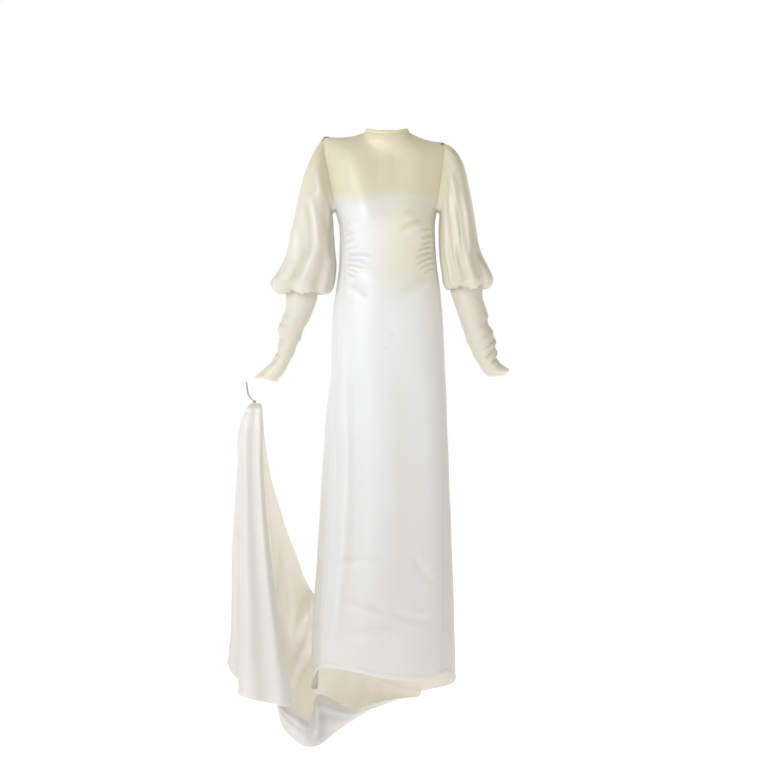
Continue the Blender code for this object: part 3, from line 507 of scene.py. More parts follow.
def top_line(across, back):
    """The neck edge and the two shoulder seams, from the right shoulder's tip to the left's."""
    beside = np.minimum(across, 1.0 - across)
    share = np.clip(beside / SHOULDER_SHARE, 0.0, 1.0)[..., None]
    on_right = (across < 0.5)[..., None]
    tip = np.where(on_right, np.array(SHOULDER_TIP_RIGHT), np.array(SHOULDER_TIP_LEFT))
    side = np.where(on_right, -NECK_HALF_WIDTH, NECK_HALF_WIDTH)
    neck_side = np.concatenate((side, np.zeros_like(side), np.full_like(side, NECK_SIDE_LEVEL)), axis=-1)
    shoulder = tip + (neck_side - tip) * share
    shoulder[..., 2] -= 6.0 * np.sin(math.pi * share[..., 0] ** 1.2)
    turn = 180.0 * np.clip((across - SHOULDER_SHARE) / (1.0 - 2.0 * SHOULDER_SHARE), 0.0, 1.0)
    return np.where((beside > SHOULDER_SHARE)[..., None], neck_edge(turn, back), shoulder)


def softened_top(across, down, back):
    """The top line as the cloth below it follows it: its corners soften on the way down."""
    softness = TOP_SOFTENING * (1.0 - fade(down / TOP_SOFTENED_BY))
    reach = np.minimum(softness, np.minimum(across, 1.0 - across))
    total = np.zeros(across.shape + (3,))
    for share in SOFTENING_STEPS:
        total += top_line(across + reach * share, back)
    return total / len(SOFTENING_STEPS)


def yoke_point(across, down, back):
    """The bodice above the underarm, from the top line to the underarm level."""
    top = softened_top(across, down, back)
    level = np.full_like(across, UNDERARM_LEVEL)
    if back:
        angle = 360.0 - BACK_SEAM_ANGLE + across * (2.0 * BACK_SEAM_ANGLE - 360.0)
    else:
        first = seam_angle(level, -1)
        angle = first + across * (seam_angle(level, 1) - first)
    low = body_point(angle, level)
    beside = np.minimum(across, 1.0 - across)
    shoulder = fade((beside - SHOULDER_FROM) / SHOULDER_FADE)
    rounding = 1.35 + 1.1 * shoulder
    root = 1.0 + 1.1 * shoulder
    swing = 1.0 + 0.6 * shoulder
    forward = (1.0 - (1.0 - down) ** rounding) ** (1.0 / root)
    x = top[..., 0] + (low[..., 0] - top[..., 0]) * down ** swing
    y = top[..., 1] + (low[..., 1] - top[..., 1]) * forward
    z = top[..., 2] + (low[..., 2] - top[..., 2]) * down
    if not back:
        y = y - bust(x, z) * down * seam_hold(beside * 220.0, 16.0)
    return point(x, y, z)


def front_point(across, level_share):
    """The front panel: the yoke for shares under 1, and then the levels down to the hem."""
    yoke = yoke_point(across, np.clip(level_share, 0.0, 1.0), False)
    below = np.clip(level_share - 1.0, 0.0, 1.0)
    level = np.full_like(across, UNDERARM_LEVEL)
    angle = np.zeros_like(across)
    for _ in range(4):
        first = seam_angle(level, -1)
        angle = first + across * (seam_angle(level, 1) - first)
        level = UNDERARM_LEVEL + below * (hem_level(angle) - UNDERARM_LEVEL)
    skirt = body_point(angle, level)
    edge = np.minimum(across, 1.0 - across) * 220.0
    skirt[..., 1] -= bust(skirt[..., 0], level) * seam_hold(edge, 16.0)
    return np.where((level_share <= 1.0)[..., None], yoke, skirt)


def side_point(side, across, below):
    """A side panel, from its front seam to its back seam, from the underarm to the hem."""
    level = np.full_like(across, UNDERARM_LEVEL)
    angle = np.zeros_like(across)
    for _ in range(4):
        first = seam_angle(level, side)
        angle = first + across * (side * BACK_SEAM_ANGLE - first)
        level = UNDERARM_LEVEL + below * (hem_level(angle) - UNDERARM_LEVEL)
    return body_point(angle, level)


def back_point(side, across, level_share):
    """A back panel, from its side seam to the centre back."""
    whole = 0.5 * across if side < 0 else 1.0 - 0.5 * across
    yoke = yoke_point(whole, np.clip(level_share, 0.0, 1.0), True)
    below = np.clip(level_share - 1.0, 0.0, 1.0)
    angle = 360.0 - BACK_SEAM_ANGLE + whole * (2.0 * BACK_SEAM_ANGLE - 360.0)
    edge = np.where(angle < TRAIN_ROOT[0][0], hem_level(angle), root_level(angle))
    level = UNDERARM_LEVEL + below * (edge - UNDERARM_LEVEL)
    skirt = body_point(angle, level)
    return np.where((level_share <= 1.0)[..., None], yoke, skirt)


def armhole_point(side, turn):
    """Points of the armhole, turned from the shoulder tip over the front and back again."""
    share = turn / 360.0
    across = np.full_like(turn, 0.0 if side < 0 else 1.0)
    front_down = 1.0 - np.cos(0.5 * math.pi * np.clip(share / 0.42, 0.0, 1.0))
    back_down = 1.0 - np.cos(0.5 * math.pi * np.clip((1.0 - share) / 0.42, 0.0, 1.0))
    front = yoke_point(across, front_down, False)
    back = yoke_point(across, back_down, True)
    under = side_point(side, np.clip((share - 0.42) / 0.16, 0.0, 1.0), np.zeros_like(turn))
    placed = np.where((share <= 0.42)[..., None], front, under)
    return np.where((share >= 0.58)[..., None], back, placed)


def ring_point(ring, turn, out):
    """Points of a sleeve's rings, turned from the outer point over the front."""
    zero = np.zeros_like(turn)
    outer = point(ring[..., 0], zero, ring[..., 1])
    inner = point(ring[..., 2], zero, ring[..., 3])
    angle = np.radians(turn)
    centre = 0.5 * (outer + inner)
    reach = 0.5 * (outer - inner)
    size = np.maximum(np.linalg.norm(reach, axis=-1), 1.0)
    along = reach * (np.cos(angle) * (1.0 + out / size))[..., None]
    depth = point(zero, -(ring[..., 4] + out) * np.sin(angle), zero)
    return centre + along + depth


def ring_at(rings, share):
    """Reads a table of rings along the sleeve, from 0 to 1."""
    return smooth_read(np.linspace(0.0, 1.0, len(rings)), np.array(rings, dtype=float), share)


def sleeve_wave(turn, waves):
    """Soft uneven lengthwise folds of a balloon sleeve, from -1 to 1."""
    count, start = waves
    angle = np.radians(turn)
    uneven = angle + 0.28 * np.sin(2.0 * angle + start)
    wave = 0.75 * np.sin(count * uneven + start) + 0.25 * np.sin(2.0 * angle + 3.0 * start)
    return wave * (1.0 - hump((turn - 180.0) / 40.0))


def upper_sleeve_point(side, rings, waves, turn, share):
    """A balloon sleeve: armhole, puffed rings and the edge gathered onto the lower sleeve."""
    wave = sleeve_wave(turn, waves)
    near = armhole_point(side, turn)
    start = np.clip(share / HEAD_SHARE, 0.0, 1.0)
    run = 0.5 * HEAD_SHARE * start * start + np.maximum(share - HEAD_SHARE, 0.0)
    ring = ring_at(rings, run / (1.0 - 0.5 * HEAD_SHARE))
    puff = ring_point(ring, turn, ring[..., 5] * wave)
    inwards = np.array((side * SLEEVE_TUCK_TOWARDS[0], 0.0, SLEEVE_TUCK_TOWARDS[1])) - near
    inwards /= np.linalg.norm(inwards, axis=-1, keepdims=True)
    near = near + inwards * (SLEEVE_TUCK * (1.0 - np.clip(share / 0.02, 0.0, 1.0)))[..., None]
    placed = near + (puff - near) * (start * (2.0 - start))[..., None]
    placed[..., 0] += side * HEAD_PUFF * np.sin(math.pi * start) ** 2
    return placed


def slanting_creases(creases, turn, share):
    """How far the slanting creases of a close sleeve stand out."""
    out = np.zeros_like(turn)
    for along, place, reach, slant, height, half_width in creases:
        away = (turn - place + 180.0) % 360.0 - 180.0
        line = along + slant * away / 90.0
        out += height * fade(np.abs(away) / reach) * hump((share - line) / half_width)
    return out


def lower_sleeve_point(rings, creases, turn, share):
    """A lower sleeve with the slanting creases of its cloth."""
    return ring_point(ring_at(rings, share), turn, slanting_creases(creases, turn, share))


def pouch_point(across, along):
    """The train from its root on the back skirt, through its lowest point, up to the loop."""
    angle = TRAIN_ROOT[0][0] + across * (TRAIN_ROOT[-1][0] - TRAIN_ROOT[0][0])
    stations = [body_point(angle, root_level(angle))]
    for section in POUCH:
        stations.append(smooth_read(np.linspace(0.0, 1.0, len(section)), np.array(section), across))
    stack = np.stack(stations)
    places = np.linspace(0.0, 1.0, len(stations))
    slopes = np.gradient(stack, places, axis=0)
    row = np.clip(np.searchsorted(places, along) - 1, 0, len(places) - 2)
    step = places[1]
    share = ((along - places[row]) / step)[..., None]
    pick = np.indices(along.shape)
    start = stack[(row,) + tuple(pick)]
    end = stack[(row + 1,) + tuple(pick)]
    start_slope = slopes[(row,) + tuple(pick)] * step
    end_slope = slopes[(row + 1,) + tuple(pick)] * step
    blend = share * share * (3.0 - 2.0 * share)
    placed = start + (end - start) * blend
    placed += start_slope * share * (1.0 - share) ** 2 + end_slope * share * share * (share - 1.0)
    for place, half_width, height, first, last in POUCH_FOLDS:
        middle = np.sin(math.pi * np.clip((along - first) / (last - first), 0.0, 1.0))
        out = height * middle * hump((across - place) / half_width)
        placed[..., 1] += 0.7 * out
        placed[..., 0] += 0.5 * out
    return placed


def fall_point(across, down):
    """The train's front ply, from the loop to its free hem."""
    hem = smooth_read(column(FALL_HEM, FALL_HEM_COLUMNS, "across"),
                      column(FALL_HEM, FALL_HEM_COLUMNS, "level"), across)
    levels = column(FALL, FALL_COLUMNS, "level")
    level = levels[0] + down ** 1.25 * (hem - levels[0])
    sizes = [smooth_read(levels, column(FALL, FALL_COLUMNS, name), level) for name in FALL_COLUMNS[1:]]
    right, ridge, back_ply, front, depth = sizes
    growth = np.minimum(depth / 45.0, 1.0)
    valley = ridge + 0.10 * (right - ridge) * growth
    outline = np.stack((
        point(right, front + 0.45 * depth, level),
        point(right - 0.16 * (right - ridge), front + 0.06 * depth, level),
        point(right - 0.42 * (right - ridge), front + 0.10 * depth, level),
        point(right - 0.74 * (right - ridge), front - 0.06 * depth, level),
        point(ridge, front + 0.18 * depth, level),
        point(valley - 3.0 * growth, front + 0.62 * depth, level),
        point(back_ply + 0.30 * (ridge - back_ply), front + 0.95 * depth, level),
        point(back_ply, front + 1.35 * depth, level),
        point(back_ply + 7.0 * growth, front + 1.95 * depth, level),
    ))
    places = np.linspace(0.0, 1.0, len(outline))
    slopes = np.gradient(outline, places, axis=0)
    row = np.clip(np.searchsorted(places, across) - 1, 0, len(places) - 2)
    step = places[1]
    share = ((across - places[row]) / step)[..., None]
    pick = tuple(np.indices(across.shape))
    start = outline[(row,) + pick]
    end = outline[(row + 1,) + pick]
    blend = share * share * (3.0 - 2.0 * share)
    placed = start + (end - start) * blend
    placed += slopes[(row,) + pick] * step * share * (1.0 - share) ** 2
    placed += slopes[(row + 1,) + pick] * step * share * share * (share - 1.0)
    return placed


def binding_point(turn, up):
    """The neck binding, turned from the right side over the front and round the back."""
    front = neck_edge(np.minimum(turn, 180.0), False)
    back = neck_edge(360.0 - np.maximum(turn, 180.0), True)
    edge = np.where((turn <= 180.0)[..., None], front, back)
    height = up * (BINDING_HEIGHT + BINDING_OVERLAP) - BINDING_OVERLAP
    lean = 1.0 - BINDING_LEAN * up / NECK_HALF_WIDTH
    return point(edge[..., 0] * lean, edge[..., 1] * lean, edge[..., 2] + height)


def tab_point(across, along):
    """The squared corner of the right shoulder opening."""
    profile = smooth_read(np.linspace(0.0, 1.0, len(TAB_PROFILE)), np.array(TAB_PROFILE), along)
    y = TAB_FRONT + across * (TAB_BACK - TAB_FRONT)
    return point(profile[..., 0], y, profile[..., 1] - 1.5 * (2.0 * across - 1.0) ** 2)


def fold_lines(x, z, folds):
    """The height of listed folds, each along a line from one point to another."""
    out = np.zeros_like(x)
    for start_x, start_z, end_x, end_z, half_width, height, side in folds:
        run_x = end_x - start_x
        run_z = end_z - start_z
        length = math.hypot(run_x, run_z)
        along = ((x - start_x) * run_x + (z - start_z) * run_z) / (length * length)
        away = ((x - start_x) * run_z - (z - start_z) * run_x) / length
        away = away + 0.04 * length * np.sin(math.pi * along) * (1.0 if side >= 0 else -1.0)
        ends = fade((np.abs(along - 0.5) - 0.22) / 0.30)
        start_strength = 1.0 if side == 0 else 1.0 - 0.35 * np.clip(along, 0.0, 1.0)
        profile = hump(away / half_width)
        if side != 0:
            profile = profile - 0.75 * hump((away - side * 1.7 * half_width) / (0.9 * half_width))
        out += height * ends * start_strength * profile
    return out


def soft_swell(across, along, size, scale, start):
    """The faint unevenness of hanging satin, as long crossing swells."""
    out = np.zeros_like(across)
    for index, (turn, length, share) in enumerate(((8, 1.0, 0.40), (67, 0.62, 0.28), (-41, 0.43, 0.20),
                                                   (24, 0.27, 0.12), (-74, 0.81, 0.30))):
        angle = math.radians(turn)
        run = across * math.cos(angle) + along * math.sin(angle)
        bend = 0.6 * np.sin(2.1 * math.pi * (along * math.cos(angle) - across) / scale + index)
        out += share * np.sin(2.0 * math.pi * run / (scale * length) + bend + start + 1.7 * index)
    return size * out


def outward_normals(placed, tube, middle):
    """The grid's normals, turned away from the middle."""
    if tube:
        round_steps = np.concatenate((placed[:, -2:-1], placed, placed[:, 1:2]), axis=1)
        over = 0.5 * (round_steps[:, 2:] - round_steps[:, :-2])
    else:
        over = np.gradient(placed, axis=1)
    down = np.gradient(placed, axis=0)
    normal = np.cross(over, down)
    normal /= np.maximum(np.linalg.norm(normal, axis=-1, keepdims=True), 1e-9)
    if np.sum(normal * (placed - middle)) < 0.0:
        normal = -normal
    return normal


def cloth(name, shape_at, across, along, materials, tube=False, own_axis=False, detail=None, wall=SHELL):
    """Shapes a flat grid into a thin shell of cloth, with its folds laid on along its normals."""
    columns = len(across) - 1
    rows = len(along) - 1
    u, v = np.meshgrid(np.array(across), np.array(along))
    placed = shape_at(u, v)
    if own_axis or tube:
        middle = placed.mean(axis=1, keepdims=True)
    else:
        middle = placed * np.array((0.0, 0.0, 1.0))
    normal = outward_normals(placed, tube, middle)
    raised = np.zeros_like(u)
    if detail is not None:
        raised = detail(u, v, placed)
        placed = placed + normal * raised[..., None]
    sheet = bmesh.new()
    bmesh.ops.create_grid(sheet, x_segments=columns, y_segments=rows, size=0.5)
    for edge in sheet.edges:
        edge.smooth = not edge.is_boundary
    sheet.verts.ensure_lookup_table()
    flat = np.array([vertex.co[:2] for vertex in sheet.verts])
    i = np.rint((flat[:, 0] + 0.5) * columns).astype(int)
    j = np.rint((flat[:, 1] + 0.5) * rows).astype(int)
    mesh = bpy.data.meshes.new(name)
    sheet.to_mesh(mesh)
    sheet.free()
    mesh.vertices.foreach_set("co", (placed[j, i] * MM).ravel())
    mesh.update()
    # The height of the folds, which the satin reads to paint shade into their valleys and highlight onto their
    # ridges.
    fold = mesh.attributes.new("fold", "FLOAT", "POINT")
    fold.data.foreach_set("value", np.clip(raised[j, i] / FULL_FOLD, -1.0, 1.0))
    corners = np.empty(len(mesh.loops), dtype=int)
    mesh.loops.foreach_get("vertex_index", corners)
    width = np.linalg.norm(np.diff(placed, axis=1), axis=-1).sum(axis=1).mean() * MM
    length = np.linalg.norm(np.diff(placed, axis=0), axis=-1).sum(axis=0).mean() * MM
    grain = np.stack((i / columns * width, j / rows * length), axis=1)[corners]
    mesh.uv_layers.new(name="grain").data.foreach_set("uv", grain.ravel())
    if tube:
        welded = bmesh.new()
        welded.from_mesh(mesh)
        bmesh.ops.remove_doubles(welded, verts=welded.verts, dist=0.000002)
        for edge in welded.edges:
            edge.smooth = not edge.is_boundary
        welded.to_mesh(mesh)
        welded.free()
    face_outwards(mesh, normal, placed)
    for material in materials:
        mesh.materials.append(material)
    mesh.polygons.foreach_set("use_smooth", np.ones(len(mesh.polygons), dtype=bool))
    piece = bpy.data.objects.new(name, mesh)
    bpy.context.scene.collection.objects.link(piece)
    thick = piece.modifiers.new("wall", "SOLIDIFY")
    thick.thickness = wall
    thick.offset = -1.0
    thick.material_offset = len(materials) - 1
    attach(piece, "root")
    return piece, width, length


def face_outwards(mesh, normal, placed):
    """Turns the mesh's faces the way that the grid's outward normals point."""
    middle = mesh.polygons[len(mesh.polygons) // 2]
    away = np.linalg.norm(placed * MM - np.array(middle.center), axis=-1)
    nearest = np.unravel_index(np.argmin(away), away.shape)
    if Vector(normal[nearest]).dot(middle.normal) < 0.0:
        mesh.flip_normals()


def steps(count):
    """Evenly spaced shares from 0 to 1."""
    return np.linspace(0.0, 1.0, count + 1)


def panel_rows(above, below):
    """Rows of a body panel, above and below the underarm, close together at the waist."""
    yoke = 1.0 - np.cos(0.5 * math.pi * steps(above))
    share = steps(below)[1:]
    skirt = share - 0.055 * np.sin(2.0 * math.pi * share)
    return np.concatenate((yoke, 1.0 + skirt))


def seam_line(edge, depth, width):
    """The pressed valley along a seam, at a distance in millimetres from it."""
    return -depth * hump(edge / width)


def hem_roll(edge):
    """The turned hem: a soft roll, and the shallow line of its stitches above."""
    return 1.1 * hump((edge - 5.0) / 5.5) - 0.7 * hump((edge - 14.5) / 2.2)


def input_value(shader, name, value):
    """Sets one socket of a shader."""
    shader.inputs[name].default_value = value


def add_node(material, kind, **settings):
    """Adds one node to a material."""
    node = material.node_tree.nodes.new(kind)
    for name, value in settings.items():
        setattr(node, name, value)
    return node


def map_range(material, source, start, end, low, high):
    """A smooth change of a value between two places."""
    node = add_node(material, "ShaderNodeMapRange", interpolation_type="SMOOTHSTEP")
    input_value(node, "From Min", start)
    input_value(node, "From Max", end)
    input_value(node, "To Min", low)
    input_value(node, "To Max", high)
    material.node_tree.links.new(source, node.inputs["Value"])
    return node.outputs["Result"]


def reckon(material, operation, first, second, third=0.0):
    """One sum of a material, on sockets or numbers."""
    node = add_node(material, "ShaderNodeMath", operation=operation)
    for place, value in enumerate((first, second, third)):
        if isinstance(value, float):
            node.inputs[place].default_value = value
        else:
            material.node_tree.links.new(value, node.inputs[place])
    return node.outputs[0]


def cloud(material, source, scale, detail):
    """Soft uneven noise over a piece."""
    node = add_node(material, "ShaderNodeTexNoise")
    input_value(node, "Scale", scale)
    input_value(node, "Detail", detail)
    material.node_tree.links.new(source, node.inputs["Vector"])
    return node.outputs["Fac"]


def relief(material, height, strength, distance):
    """Fine relief from a height."""
    node = add_node(material, "ShaderNodeBump")
    input_value(node, "Strength", strength)
    input_value(node, "Distance", distance)
    material.node_tree.links.new(height, node.inputs["Height"])
    return node


def satin(name, pale, warm, roughness, through, chest, hang, face=1.0):
    """Silk satin: tone drifting from cream to ivory, fine floats along the grain, a soft gloss, and painted shade.

    chest is how far the painted warm shade over the upper chest and down the waist shows, hang the
    brightness at the hem and at the waist, as painted shade darker towards the hem, and face is -1 for the
    reverse, which sees each fold from behind. The fold attribute paints shade into the valleys of folds and
    highlight onto their ridges."""
    material = bpy.data.materials.new(name)
    material.use_nodes = True
    tree = material.node_tree
    shader = tree.nodes["Principled BSDF"]
    input_value(shader, "Sheen Weight", 0.12)
    input_value(shader, "Sheen Roughness", 0.45)
    input_value(shader, "Sheen Tint", (1.0, 0.97, 0.90, 1.0))
    input_value(shader, "Subsurface Weight", through)
    input_value(shader, "Subsurface Radius", (1.0, 0.8, 0.55))
    input_value(shader, "Subsurface Scale", 0.012)
    place = add_node(material, "ShaderNodeTexCoord").outputs["Object"]
    split = add_node(material, "ShaderNodeSeparateXYZ")
    tree.links.new(place, split.inputs[0])
    fold = add_node(material, "ShaderNodeAttribute", attribute_name="fold").outputs["Fac"]
    drift = cloud(material, place, 7.0, 3.0)
    # Painted warm shade over the upper chest, above the bust.
    high = map_range(material, split.outputs["Z"], -0.190, -0.130, 0.0, 1.0)
    # Painted warm shade down a column at the front of the waist, left of the centre.
    aside = reckon(material, "ABSOLUTE", reckon(material, "SUBTRACT", split.outputs["X"], 0.060), 0.0)
    below = reckon(material, "ABSOLUTE", reckon(material, "ADD", split.outputs["Z"], 0.250), 0.0)
    column = map_range(material, aside, 0.025, 0.130, 0.64, 0.0)
    front = map_range(material, split.outputs["Y"], -0.040, -0.010, 1.0, 0.0)
    column = reckon(material, "MULTIPLY", column, front)
    waist = reckon(material, "MULTIPLY", column, map_range(material, below, 0.075, 0.200, 1.0, 0.0))
    painted_shade_and_drift = reckon(material, "MULTIPLY", reckon(material, "MAXIMUM", high, waist), chest)
    painted_shade_and_drift = reckon(material, "ADD", painted_shade_and_drift, 0.35 if face < 0.0 else 0.0)
    painted_shade_and_drift = reckon(material, "ADD", painted_shade_and_drift, reckon(material, "MULTIPLY_ADD", drift, 0.30, -0.09))
    # Painted shade: the tone turns warm in the valleys of folds and pale on their ridges, the other way round on the
    # reverse.
    tone = add_node(material, "ShaderNodeMath", operation="MULTIPLY_ADD", use_clamp=True)
    tone.inputs[1].default_value = -0.28 * face
    tree.links.new(fold, tone.inputs[0])
    tree.links.new(painted_shade_and_drift, tone.inputs[2])
    mix = add_node(material, "ShaderNodeMix", data_type="RGBA")
    mix.inputs["A"].default_value = pale
    mix.inputs["B"].default_value = warm
    tree.links.new(tone.outputs[0], mix.inputs["Factor"])
    grain = add_node(material, "ShaderNodeUVMap", uv_map="grain")
    stretch = add_node(material, "ShaderNodeMapping")
    stretch.inputs["Scale"].default_value = (2600.0, 220.0, 1.0)
    tree.links.new(grain.outputs["UV"], stretch.inputs["Vector"])
    floats = cloud(material, stretch.outputs["Vector"], 1.0, 2.0)
    slub = add_node(material, "ShaderNodeMix", data_type="RGBA", blend_type="MULTIPLY")
    input_value(slub, "Factor", 0.06)
    tree.links.new(mix.outputs["Result"], slub.inputs["A"])
    tree.links.new(floats, slub.inputs["B"])
    # Painted highlight on the ridges of folds and painted shade in their valleys; on the reverse, painted shade where
    # a fold bulges away.
    depth = reckon(material, "MULTIPLY_ADD", fold, 0.09 if face > 0.0 else -0.20, 1.0)
    # Painted shade: darker towards the hem, by level.
    light = reckon(material, "MULTIPLY", depth, map_range(material, split.outputs["Z"], -1.50, -0.40, *hang))
    shaded = add_node(material, "ShaderNodeVectorMath", operation="SCALE")
    tree.links.new(slub.outputs["Result"], shaded.inputs[0])
    tree.links.new(light, shaded.inputs["Scale"])
    tree.links.new(shaded.outputs["Vector"], shader.inputs["Base Color"])
    gloss = map_range(material, drift, 0.0, 1.0, roughness - 0.05, roughness + 0.07)
    tree.links.new(gloss, shader.inputs["Roughness"])
    weave = relief(material, floats, 0.12, 0.0002)
    ripple = relief(material, cloud(material, place, 36.0, 1.0), 0.10, 0.003)
    tree.links.new(weave.outputs["Normal"], ripple.inputs["Normal"])
    tree.links.new(ripple.outputs["Normal"], shader.inputs["Normal"])
    return material


def silk_cord():
    """Twisted silk cord: slanting plies across its length."""
    material = bpy.data.materials.new("silk_cord")
    material.use_nodes = True
    tree = material.node_tree
    shader = tree.nodes["Principled BSDF"]
    input_value(shader, "Roughness", 0.55)
    input_value(shader, "Sheen Weight", 0.3)
    place = add_node(material, "ShaderNodeTexCoord")
    twist = add_node(material, "ShaderNodeTexWave", bands_direction="DIAGONAL")
    input_value(twist, "Scale", 320.0)
    input_value(twist, "Distortion", 1.0)
    tree.links.new(place.outputs["Object"], twist.inputs["Vector"])
    mix = add_node(material, "ShaderNodeMix", data_type="RGBA")
    mix.inputs["A"].default_value = (0.24, 0.21, 0.16, 1.0)
    mix.inputs["B"].default_value = (0.50, 0.45, 0.36, 1.0)
    tree.links.new(twist.outputs["Fac"], mix.inputs["Factor"])
    tree.links.new(mix.outputs["Result"], shader.inputs["Base Color"])
    bump = add_node(material, "ShaderNodeBump")
    input_value(bump, "Strength", 0.4)
    input_value(bump, "Distance", 0.0005)
    tree.links.new(twist.outputs["Fac"], bump.inputs["Height"])
    tree.links.new(bump.outputs["Normal"], shader.inputs["Normal"])
    return material


def button_finish():
    """A small polished dark button with a faint grain."""
    material = bpy.data.materials.new("dark_button")
    material.use_nodes = True
    tree = material.node_tree
    shader = tree.nodes["Principled BSDF"]
    input_value(shader, "Roughness", 0.3)
    place = add_node(material, "ShaderNodeTexCoord")
    cloud = add_node(material, "ShaderNodeTexNoise")
    input_value(cloud, "Scale", 600.0)
    tree.links.new(place.outputs["Object"], cloud.inputs["Vector"])
    mix = add_node(material, "ShaderNodeMix", data_type="RGBA")
    mix.inputs["A"].default_value = (0.14, 0.09, 0.05, 1.0)
    mix.inputs["B"].default_value = (0.34, 0.25, 0.15, 1.0)
    tree.links.new(cloud.outputs["Fac"], mix.inputs["Factor"])
    tree.links.new(mix.outputs["Result"], shader.inputs["Base Color"])
    return material


def make_front(materials):
    """The front panel, with its gathers, creases and turned hem."""
    def detail(u, v, placed):
        x = placed[..., 0]
        z = placed[..., 2]
        edge = np.minimum(u, 1.0 - u) * 260.0
        hold = seam_hold(edge, 5.0)
        out = hold * (GATHER_DEPTH * fold_lines(x, z, FRONT_FOLDS) + fold_lines(x, z, FRONT_RUNS))
        out += soft_swell(x, z, 0.35, 210.0, 0.4) * seam_hold(edge, 20.0)
        out += seam_line(edge, 0.6, 2.4) * (1.0 - fade((v - 1.0) / 0.03))
        below = (2.0 - v) * 1150.0
        return out + np.where(v > 1.0, hem_roll(below), 0.0)
    across = steps(110)
    along = panel_rows(70, 330)
    return cloth("satin_front", front_point, across, along, materials, detail=detail)


def make_side(name, side, materials):
    """A side panel."""
    def shape(u, v):
        return side_point(side, u, v)

    def detail(u, v, placed):
        edge = np.minimum(u, 1.0 - u) * 110.0
        out = soft_swell(placed[..., 1], placed[..., 2], 0.5, 190.0, side * 1.1) * seam_hold(edge, 12.0)
        out += seam_line(edge, 0.6, 2.4)
        return out + hem_roll((1.0 - v) * 1180.0)
    rows = panel_rows(1, 300)[1:] - 1.0
    rows[0] = 0.0
    return cloth(name, shape, steps(30), rows, materials, detail=detail)


def make_back(name, side, materials):
    """A back panel."""
    def shape(u, v):
        return back_point(side, u, v)

    def detail(u, v, placed):
        edge = np.minimum(u, 1.0 - u) * 190.0
        out = soft_swell(placed[..., 0], placed[..., 2], 0.6, 230.0, side * 0.7) * seam_hold(edge, 12.0)
        out += seam_line(edge, 0.6, 2.4) * (1.0 - fade((v - 1.0) / 0.03) * fade((0.5 - u) / 0.2))
        free_hem = side > 0
        if free_hem:
            out = out + np.where(v > 1.0, hem_roll((2.0 - v) * 1200.0), 0.0) * fade((u - 0.35) / 0.2)
        return out
    return cloth(name, shape, steps(70), panel_rows(50, 260), materials, detail=detail)


def make_upper_sleeve(name, side, rings, waves, lobes, folds, materials):
    """A balloon sleeve, with gathers at its head and where it is drawn in at the elbow."""
    def shape(u, v):
        return upper_sleeve_point(side, rings, waves, 360.0 * u, v)

    def detail(u, v, placed):
        turn = 2.0 * math.pi * u
        free = 1.0 - hump((u - 0.5) / 0.10)
        low = hump((v - 0.90) / 0.13)
        small = np.sin(23.0 * turn + 1.6 * np.sin(3.0 * turn) + side) + 0.6 * np.sin(31.0 * turn + 2.0 * side)
        gathers = 1.5 * low * small * free
        head = 0.9 * hump((v - 0.07) / 0.07) * np.sin(19.0 * turn + side) * fade((np.abs(u - 0.5) - 0.5) / -0.3)
        long_run = 2.6 * np.sin(5.0 * turn + 0.9 * np.sin(2.0 * turn) + 2.0 * side) * hump((v - 0.42) / 0.30) * free
        swell = soft_swell(360.0 * u, 330.0 * v, 0.6, 160.0, side * 0.9)
        for at, half_width, height in lobes:
            away = (u - at + 0.5) % 1.0 - 0.5
            gathers = gathers + height * hump(away / half_width) * (1.0 - fade((v - 0.22) / 0.66))
        outer = 1.0 - fade(np.abs(placed[..., 1]) / 25.0)
        gathers = gathers + outer * fold_lines(placed[..., 0], placed[..., 2], folds)
        start = 1.0 - hump(v / 0.03)
        return start * (gathers + head + long_run + swell * free) - 0.5 * hump((v - 0.016) / 0.007)
    share = steps(124)
    rows = share + 0.06 * np.sin(2.0 * math.pi * share)
    return cloth(name, shape, steps(190), rows, materials, tube=True, detail=detail)


def make_lower_sleeve(name, side, rings, creases, fine_creases, materials):
    """A close lower sleeve."""
    def shape(u, v):
        return lower_sleeve_point(rings, creases, 360.0 * u, v)

    def detail(u, v, placed):
        ends = fade((v - 0.93) / 0.05) * (1.0 - fade(v / 0.08))
        fine = soft_swell(230.0 * u, 260.0 * v, 0.7, 70.0, side * 1.3)
        fine += slanting_creases(fine_creases, 360.0 * u, v)
        return ends * fine + 0.5 * hump((v - 0.985) / 0.010) - 0.4 * hump((v - 0.955) / 0.006)
    return cloth(name, shape, steps(96), steps(150), materials, tube=True, detail=detail)


def make_pouch(materials):
    """The train from the back skirt to the loop, with the folds that fall together in its hollow."""
    def detail(u, v, placed):
        inside = (1.0 - fade((u - 0.50) / 0.12)) * (1.0 - hump((1.0 - u) / 0.08))
        near = fade((u - 0.30) / 0.12)
        middle = np.sin(math.pi * np.clip(v, 0.0, 1.0))
        out = 1.4 * np.sin(2.0 * math.pi * (6.5 * u + 0.8 * v)) * middle * np.clip(u * 3.0, 0.0, 1.0)
        out += soft_swell(700.0 * u, 900.0 * v, 1.2, 260.0, 0.3) * middle
        out -= inside * fold_lines(placed[..., 0], placed[..., 2], HOLLOW_FOLDS)
        return out + near * fold_lines(placed[..., 0], placed[..., 2], NEAR_FOLDS)
    return cloth("satin_train_pouch", pouch_point, steps(132), steps(196), materials, own_axis=True, detail=detail)


